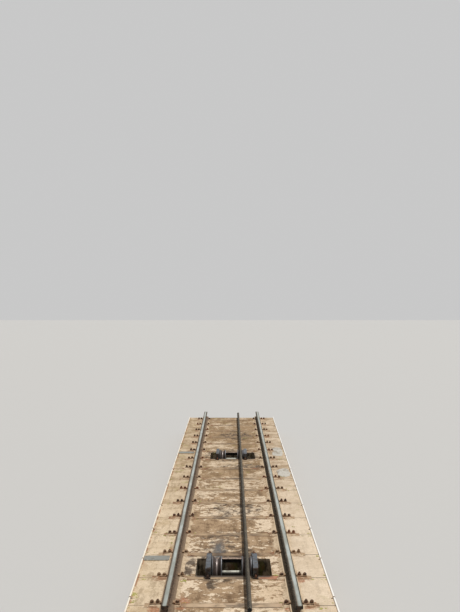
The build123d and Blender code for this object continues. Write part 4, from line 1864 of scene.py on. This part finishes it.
    def _bolts(self) -> Shell:
        """Bolts of the feet and of the keepers."""
        start = STATIONS[self.station]
        dice = random.Random(40 + self.station)
        foot = Bolt(24 * MM, 13 * MM, 15 * MM, 3 * MM, thread=8 * MM, stub=8 * MM).shell()
        cap = Bolt(18 * MM, 8 * MM, 12 * MM, 2 * MM, thread=4 * MM, stub=0.6 * MM).shell()
        out, aside, above = self.keeper_bolt
        made = Shell()
        for side in Side:
            x, z = side.value * self.foot_bolt_x, BED_TOP + 2 * self.strip_half
            seats = [shift(x, start + u, z, dice.uniform(0, 3)) for u in self.foot_bolts]
            made.stamp(foot, seats)
            lay = Matrix.Rotation(side.value * math.pi / 2, 4, "Y")
            for y in (shaft_y(self.station) - aside, shaft_y(self.station) + aside):
                place = Matrix.Translation((side.value * out, y, SHAFT_Z + above))
                made.stamp(cap, [place @ lay @ Matrix.Rotation(dice.uniform(0, 3), 4, "Z")])
        return made

    def _sludge(self) -> Shell:
        """Uneven layer of silt on the floor of the pit."""
        start = STATIONS[self.station] + PIT_NEAR
        floor = BED_TOP - PIT_DEPTH
        half = PIT_HALF_WIDTH + 1.0 * MM
        xs = np.linspace(PIT_MIDDLE_X - half, PIT_MIDDLE_X + half, 34)
        ys = np.linspace(start - 1.0 * MM, start + PIT_LENGTH + 1.0 * MM, 26)
        bank, reach = self.silt_bank
        rows = []
        for y in ys:
            row = []
            from_end = abs(abs(y - start - PIT_LENGTH / 2) - PIT_LENGTH / 2)
            for x in xs:
                from_wall = min(abs(abs(x - PIT_MIDDLE_X) - PIT_HALF_WIDTH), from_end)
                heap = self.silt * (1 + 0.8 * wander(x, y, 1.0, 0.13))
                heap += bank * max(0.0, 1 - from_wall / reach) ** 2
                row.append((x, y, floor + max(2.0 * MM, heap)))
            rows.append([(xs[0], y, floor - 1.0 * MM), *row, (xs[-1], y, floor - 1.0 * MM)])
        return Shell().skin(np.array(rows))


@dataclass
class EdgeConduit:
    """Pale conduit along one edge of the bed, with couplings and saddles."""

    side: Side
    radius: float = 8.0 * MM
    coupling: float = 9.4 * MM
    coupling_half: float = 32.0 * MM
    coupling_places: tuple[float, ...] = (-4.1, -1.1, 1.9, 4.9)
    saddle_pitch: float = 1.2
    saddle_start: float = 0.55
    saddle_half: float = 9.0 * MM
    saddle_wall: float = 1.4 * MM
    ear: float = 15.0 * MM

    def build(self) -> None:
        """Makes the tube and its saddles."""
        word = self.side.word
        sign = self.side.value
        x, z = sign * CONDUIT_X, BED_TOP + self.radius
        places = [(-HALF_LENGTH, self.radius)]
        for middle in self.coupling_places:
            low, high = middle - self.coupling_half, middle + self.coupling_half
            rim = self.coupling - 0.6 * MM
            places += [(low - 1e-4, self.radius), (low, rim), (low + 1 * MM, self.coupling)]
            places += [(high - 1 * MM, self.coupling), (high, rim), (high + 1e-4, self.radius)]
        places.append((HALF_LENGTH, self.radius))
        tube = Shell().tube(np.array([(x, y, z) for y, _ in places]), [r for _, r in places], 20)
        if self.side is Side.RIGHT:
            colours = paint(252, 248, 240), paint(184, 160, 130), paint(190, 172, 150)
            coat = ChalkyCoat(*colours, dirty=0.10, worn=0.05, scale=5.0)
        else:
            colours = paint(248, 238, 220), paint(184, 164, 112), paint(186, 138, 100)
            coat = ChalkyCoat(*colours, dirty=0.50, worn=0.35, scale=3.0)
        node = f"edge_conduit_{word}"
        tube.piece(f"conduit_run_{word}", coat, "conduit", replaces=(node,), crease=45.0)
        straps = self._saddles(x, z)
        straps.piece(f"conduit_straps_{word}", RustyForging(), "fastening_steel", crease=40.0)

    def _saddles(self, x: float, z: float) -> Shell:
        """Half straps over the conduit, each with one screw."""
        sign = self.side.value
        r = self.radius + 0.1 * MM
        outer = r + self.saddle_wall
        foot = BED_TOP - 1.0 * MM
        over = arc((0.0, 0.0), outer, 0, 180, 12)
        under = arc((0.0, 0.0), r, 180, 0, 12)
        low, ear = foot - z, foot - z + 3.0 * MM
        outline = [(outer, low)] + over + [(-outer, ear), (-outer - self.ear, ear)]
        outline += [(-outer - self.ear, low), (-r, low)] + under + [(r, low)]
        screw = Shell().stack([(0.0, 5 * MM), (1.6 * MM, 4.6 * MM), (2.6 * MM, 2.8 * MM)], 12)
        made = Shell()
        seats = []
        for y in evenly(self.saddle_start - HALF_LENGTH, HALF_LENGTH, self.saddle_pitch):
            placed = [(x + sign * u, z + v) for u, v in outline]
            made.extrude(placed, y - self.saddle_half, y + self.saddle_half, Axis.Y)
            seats.append(shift(x - sign * (outer + self.ear / 2), y, foot + 3.0 * MM))
        return made.stamp(screw, seats)


@dataclass
class NumberPlate:
    """Blank enamelled plate screwed to the bed beside a pit."""

    station: int
    width: float = 0.262
    length: float = 0.150
    corner: float = 12.0 * MM
    middle_x: float = -0.775
    setback: float = 0.141
    screw_inset: float = 0.022
    layers: tuple[Pair, ...] = (
        (0.0, -1.5 * MM),
        (0.0, 5.0 * MM),
        (1.0 * MM, 6.0 * MM),
        (7.0 * MM, 6.0 * MM),
        (8.5 * MM, 4.6 * MM),
    )

    def build(self) -> None:
        """Makes the plate with a turned rim and its screws."""
        y = STATIONS[self.station] + SLEEPER_PITCH - self.setback
        rings = [
            [(self.middle_x + u, y + v, BED_TOP + height) for u, v in self._outline(inset)]
            for inset, height in self.layers
        ]
        plate = Shell().skin(np.array(rings))
        colours = paint(134, 134, 126), paint(108, 100, 84), paint(198, 188, 172)
        coat = ChalkyCoat(*colours, dirty=0.4, worn=0.45, scale=12.0)
        node = f"number_plate_{self.station}"
        plate.piece(f"blank_plate_{self.station}", coat, "number_plate", replaces=(node,))
        screw = Shell().stack([(0.0, 6 * MM), (2.0 * MM, 5.4 * MM), (3.4 * MM, 3.2 * MM)], 14)
        aside, along = self.width / 2 - self.screw_inset, self.length / 2 - self.screw_inset
        seats = [
            shift(self.middle_x + u * aside, y + v * along, BED_TOP + 4.4 * MM)
            for u in (-1, 1)
            for v in (-1, 1)
        ]
        screws = Shell().stamp(screw, seats)
        screws.piece(f"plate_screws_{self.station}", RustyForging(), "fastening_steel")

    def _outline(self, inset: float) -> list[Pair]:
        """Rectangle with cut corners, drawn in by an inset."""
        half_x, half_y = self.width / 2 - inset, self.length / 2 - inset
        cut = self.corner - inset * 0.4
        corners = [(half_x, half_y - cut), (half_x - cut, half_y)]
        outline = corners + [(-u, v) for u, v in reversed(corners)]
        return outline + [(-u, -v) for u, v in outline]


@dataclass
class Weathering:
    """What lies on the bed: moss cushions, packed dirt and repair mortar."""

    seed: int = 7
    near_spots: tuple[Pair, ...] = (
        (-0.455, -4.97),
        (-0.462, -5.00),
        (-0.500, -5.18),
        (0.517, -3.01),
        (0.70, -3.05),
        (0.80, -5.72),
        (-0.62, -3.38),
        (0.60, -4.08),
    )
    mats: tuple[tuple[float, float, float, float], ...] = (
        (-0.880, -5.40, 0.022, 0.17),
        (-0.667, -3.52, 0.024, 0.26),
        (0.668, -5.86, 0.030, 0.05),
        (0.500, -3.08, 0.016, 0.10),
    )
    patches: tuple[tuple[float, float, float, float], ...] = (
        (0.790, 1.83, 0.110, 0.47),
        (0.795, 0.06, 0.108, 0.35),
    )
    patch_height: float = 4.0 * MM
    foot_half: float = 61.0 * MM
    tufts: int = 150
    tufts_per_mat: int = 22
    bank_gap: float = 78.0 * MM
    bank_slope: tuple[Pair, ...] = ((0.20, 0.66), (0.40, 0.40), (0.62, 0.20), (0.82, 0.08), (1.0, -0.06))
    apron_ends: Pair = (-0.134, 0.181)
    apron_slope: tuple[Pair, ...] = ((0.22, 0.64), (0.45, 0.36), (0.72, 0.14), (1.0, -0.06))

    def build(self) -> None:
        """Makes the moss, the dirt and the mortar."""
        self._cushions().piece("moss_cushions", Moss(), "concrete", crease=180.0)
        self._banks().piece("dirt_banks", PackedDirt(), "concrete", crease=180.0)
        for number, patch in enumerate(self.patches, start=1):
            self._mortar(*patch).piece(f"mortar_patch_{number}", Mortar(), "concrete", crease=80.0)

    def _cushions(self) -> Shell:
        """Low lumps along joints, conduits and fastenings."""
        dice = random.Random(self.seed)
        spots = [(x, y, 0.016) for x, y in self.near_spots]
        for _ in range(self.tufts):
            k = dice.randrange(SLEEPER_COUNT)
            y = sleeper_y(k) + dice.choice((-1, 1)) * dice.uniform(0.052, 0.075)
            side = dice.choice((-1, 1))
            bands = (dice.uniform(0.42, 0.47), dice.uniform(0.72, 0.90), dice.uniform(0.885, 0.905))
            x = side * dice.choice(bands)
            spots.append((x, y, dice.uniform(0.005, 0.012)))
        for x, y, half_x, half_y in self.mats:
            for _ in range(self.tufts_per_mat):
                aside, along = dice.gauss(0, half_x * 0.6), dice.gauss(0, half_y * 0.6)
                spots.append((x + aside, y + along, dice.uniform(0.004, 0.010)))
        lump = bmesh.new()
        bmesh.ops.create_icosphere(lump, subdivisions=2, radius=1.0)
        lump.verts.ensure_lookup_table()
        base = np.array([v.co for v in lump.verts])
        faces = [tuple(v.index for v in face.verts) for face in lump.faces]
        lump.free()
        made = Shell()
        for x, y, size in spots:
            for _ in range(dice.randint(2, 5)):
                u, v = x + dice.gauss(0, size * 1.1), y + dice.gauss(0, size * 0.9)
                radius = size * dice.uniform(0.5, 1.0)
                limit = HALF_WIDTH - 1.4 * radius
                u = max(-limit, min(limit, u))
                bumps = np.array([1 + 0.18 * wander(*(p * 3 + u * 40), 1.0, 2) for p in base])
                grown = base * bumps[:, None] * (radius, radius, radius * 0.5)
                made.add(grown + (u, v, BED_TOP - 1.5 * MM), faces)
        return made

    def _banks(self) -> Shell:
        """Low banks of dirt along each rail's foot and against the near side of its fastenings."""
        made = Shell()
        for side in (-1, 1):
            for k in range(SLEEPER_COUNT):
                made.skin(self._apron(side, sleeper_y(k)))
        for side in (-1, 1):
            for out in (-1, 1):
                edge = side * RAIL_X + out * self.foot_half
                for k in range(SLEEPER_COUNT - 1):
                    low, high = sleeper_y(k) + self.bank_gap, sleeper_y(k + 1) - self.bank_gap
                    made.skin(self._bank(edge, out, low, high))
        return made

    def _bank(self, edge: float, out: int, low: float, high: float) -> np.ndarray:
        """Cross sections of one bank.

        Args:
            edge: Place of the foot's edge.
            out: Side of the edge that the bank lies on.
            low: Where it starts along the track.
            high: Where it ends.

        Returns:
            One ring of points for each cross section.
        """
        inward = 1.0 if out * edge < 0 else 0.0
        rings = []
        for y in np.linspace(low, high, 72):
            full = min(1.0, (min(y - low, high - y) / 0.09 + 0.02) ** 0.7)
            lump = max(0.0, 0.5 + 0.7 * wander(edge * 7.0, y, 3.0, 0.22, 5))
            torn = wander(edge * 3.0, y, 5.0, 0.025, 3)
            wide = 0.006 + 0.042 * lump * inward + 0.012 * lump + 0.005 * torn
            wide *= 0.08 + 0.92 * full
            tall = min(0.0172, 0.0060 + 0.006 * inward + 0.008 * lump) * full
            outline = [(-0.004, -0.002), (-0.004, tall), (0.0005, tall)]
            for share, height in self.bank_slope:
                bump = 0.0009 * wander(edge + share * wide * 9.0, y * 9.0, 2.0, 0.12, 3)
                bump *= share < 1.0
                outline.append((wide * share, tall * height + bump))
            outline.append((wide, -0.002))
            rings.append([(edge + out * u, y, BED_TOP + v) for u, v in outline])
        return np.array(rings)

    def _apron(self, side: int, y: float) -> np.ndarray:
        """Cross sections of the dirt at one base plate.

        Args:
            side: Rail that the plate carries.
            y: Middle of its sleeper.

        Returns:
            One ring of points for each cross section.
        """
        inner, outer = self.apron_ends
        rings = []
        for aside in np.linspace(inner, outer, 52):
            x = side * (RAIL_X + aside)
            full = min(1.0, (min(aside - inner, outer - aside) / 0.03 + 0.02) ** 0.7)
            lump = max(0.0, 0.5 + 0.8 * wander(x, y, 8.0, 0.05, 4))
            at_clip = max(0.060 - abs(aside - 0.0995), 0.036 - abs(aside + 0.0765)) / 0.008
            heap = (0.004 + 0.006 * lump) * max(0.0, min(1.0, at_clip))
            brim = (0.0105 + 0.0015 * lump) * full
            reach = (0.008 + 0.032 * lump) * (0.2 + 0.8 * full)
            outline = [(0.021, -0.002), (0.021, brim + heap), (0.010, brim + heap * 0.4), (0.001, brim)]
            for share, height in self.apron_slope:
                bump = 0.0009 * wander(x * 9.0, y + share, 4.0, 0.12, 3) * (share < 1.0)
                outline.append((-reach * share, brim * height + bump))
            outline.append((-reach, -0.002))
            rings.append([(x, y - PLATE_HALF_LENGTH + u, BED_TOP + v) for u, v in outline])
        return np.array(rings)

    def _mortar(self, x: float, y: float, half_x: float, half_y: float) -> Shell:
        """Flat patch with a ragged rim.

        Args:
            x: Its middle.
            y: Its middle.
            half_x: Half its width.
            half_y: Half its length.

        Returns:
            The shell.
        """
        layers = [(1.0, -3.0 * MM), (1.0, 0.2 * MM), (0.985, 2.4 * MM)]
        layers += [(0.94, self.patch_height), (0.5, self.patch_height)]
        rings = []
        for share, height in layers:
            ring = []
            for k in range(180):
                a = 2 * math.pi * k / 180
                c, s = math.cos(a), math.sin(a)
                square = (abs(c) ** 4 + abs(s) ** 4) ** -0.25
                bite = wander(c * 2 + x, s * 2 + y, 2.0, 1.1, 6)
                ragged = share * square * (1 - 0.16 * (1 + bite))
                u, v = x + half_x * c * ragged, y + half_y * s * ragged
                trowelled = 0.5 * MM * wander(u, v, 0.0, 0.08) if share < 1 else 0.0
                ring.append((u, v, BED_TOP + height + trowelled))
            rings.append(ring)
        return Shell().skin(np.array(rings))


@dataclass
class Studio:
    """Camera, plain floor and soft light."""

    place: Point = (-0.007, -13.237, 3.095)
    lens: float = 51.2
    sensor: float = 36.0
    pitch: float = 0.79
    yaw: float = 0.0724
    sun_from: Point = (0.175, 0.28, 0.945)
    sun_strength: float = 2.75
    sun_angle: float = 3.0
    sky: float = 0.28
    backdrop: float = 0.58
    floor: Colour = paint(196, 194, 190)
    floor_half: float = 90.0

    def build(self) -> None:
        """Sets up everything that isn't part of the object."""
        self._camera()
        self._light()
        self._floor()
        bpy.context.scene.view_settings.view_transform = "Standard"

    def _camera(self) -> None:
        """Camera over the middle of the track, looking up the line."""
        data = bpy.data.cameras.new("camera")
        data.lens = self.lens
        data.sensor_width = self.sensor
        data.sensor_fit = "AUTO"
        data.clip_end = 300.0
        camera = bpy.data.objects.new("camera", data)
        camera.location = self.place
        camera.rotation_euler = (math.radians(90.0 - self.pitch), 0.0, math.radians(self.yaw))
        bpy.context.scene.collection.objects.link(camera)
        bpy.context.scene.camera = camera

    def _light(self) -> None:
        """High soft sun from the right and an even sky."""
        data = bpy.data.lights.new("sun", "SUN")
        data.energy = self.sun_strength
        data.angle = math.radians(self.sun_angle)
        sun = bpy.data.objects.new("sun", data)
        sun.rotation_euler = Vector(self.sun_from).to_track_quat("Z", "Y").to_euler()
        bpy.context.scene.collection.objects.link(sun)
        world = bpy.data.worlds.new("sky")
        world.use_nodes = True
        bpy.context.scene.world = world
        graph = Graph(world.node_tree)
        seen = graph.node("ShaderNodeLightPath", output="Is Camera Ray")
        rays = seen.socket.node.outputs
        shown = seen.most(Value(graph, rays["Is Glossy Ray"]))
        shown = shown.most(Value(graph, rays["Is Transmission Ray"]))
        strength = self.sky + shown * (self.backdrop - self.sky)
        light = {"Color": (1.0, 1.0, 1.0), "Strength": strength}
        glow = graph.node("ShaderNodeBackground", {}, light)
        graph.end(glow, "ShaderNodeOutputWorld")

    def _floor(self) -> None:
        """Wide pale floor just under the bed."""
        mesh = bpy.data.meshes.new("floor")
        h = self.floor_half
        corners = [(-h, -h, -1 * MM), (h, -h, -1 * MM), (h, h, -1 * MM), (-h, h, -1 * MM)]
        mesh.from_pydata(corners, [], [(0, 1, 2, 3)])
        recipe = Recipe("plain_floor")
        mesh.materials.append(recipe.finish(self.floor, 0.9))
        floor = bpy.data.objects.new("floor", mesh)
        bpy.context.scene.collection.objects.link(floor)


def main() -> None:
    """Builds the camera and studio, then each sub-assembly."""
    logging.basicConfig(level=logging.INFO, format="%(message)s")
    Studio().build()
    ConcreteBed().build()
    dress("sleepers", SleeperSteel())
    for side in Side:
        RunningRail(side).build()
        EdgeConduit(side).build()
    HaulRope().build()
    for station in STATIONS:
        SheaveStation(station).build()
        NumberPlate(station).build()
    Weathering().build()


if __name__ == "__main__":
    main()
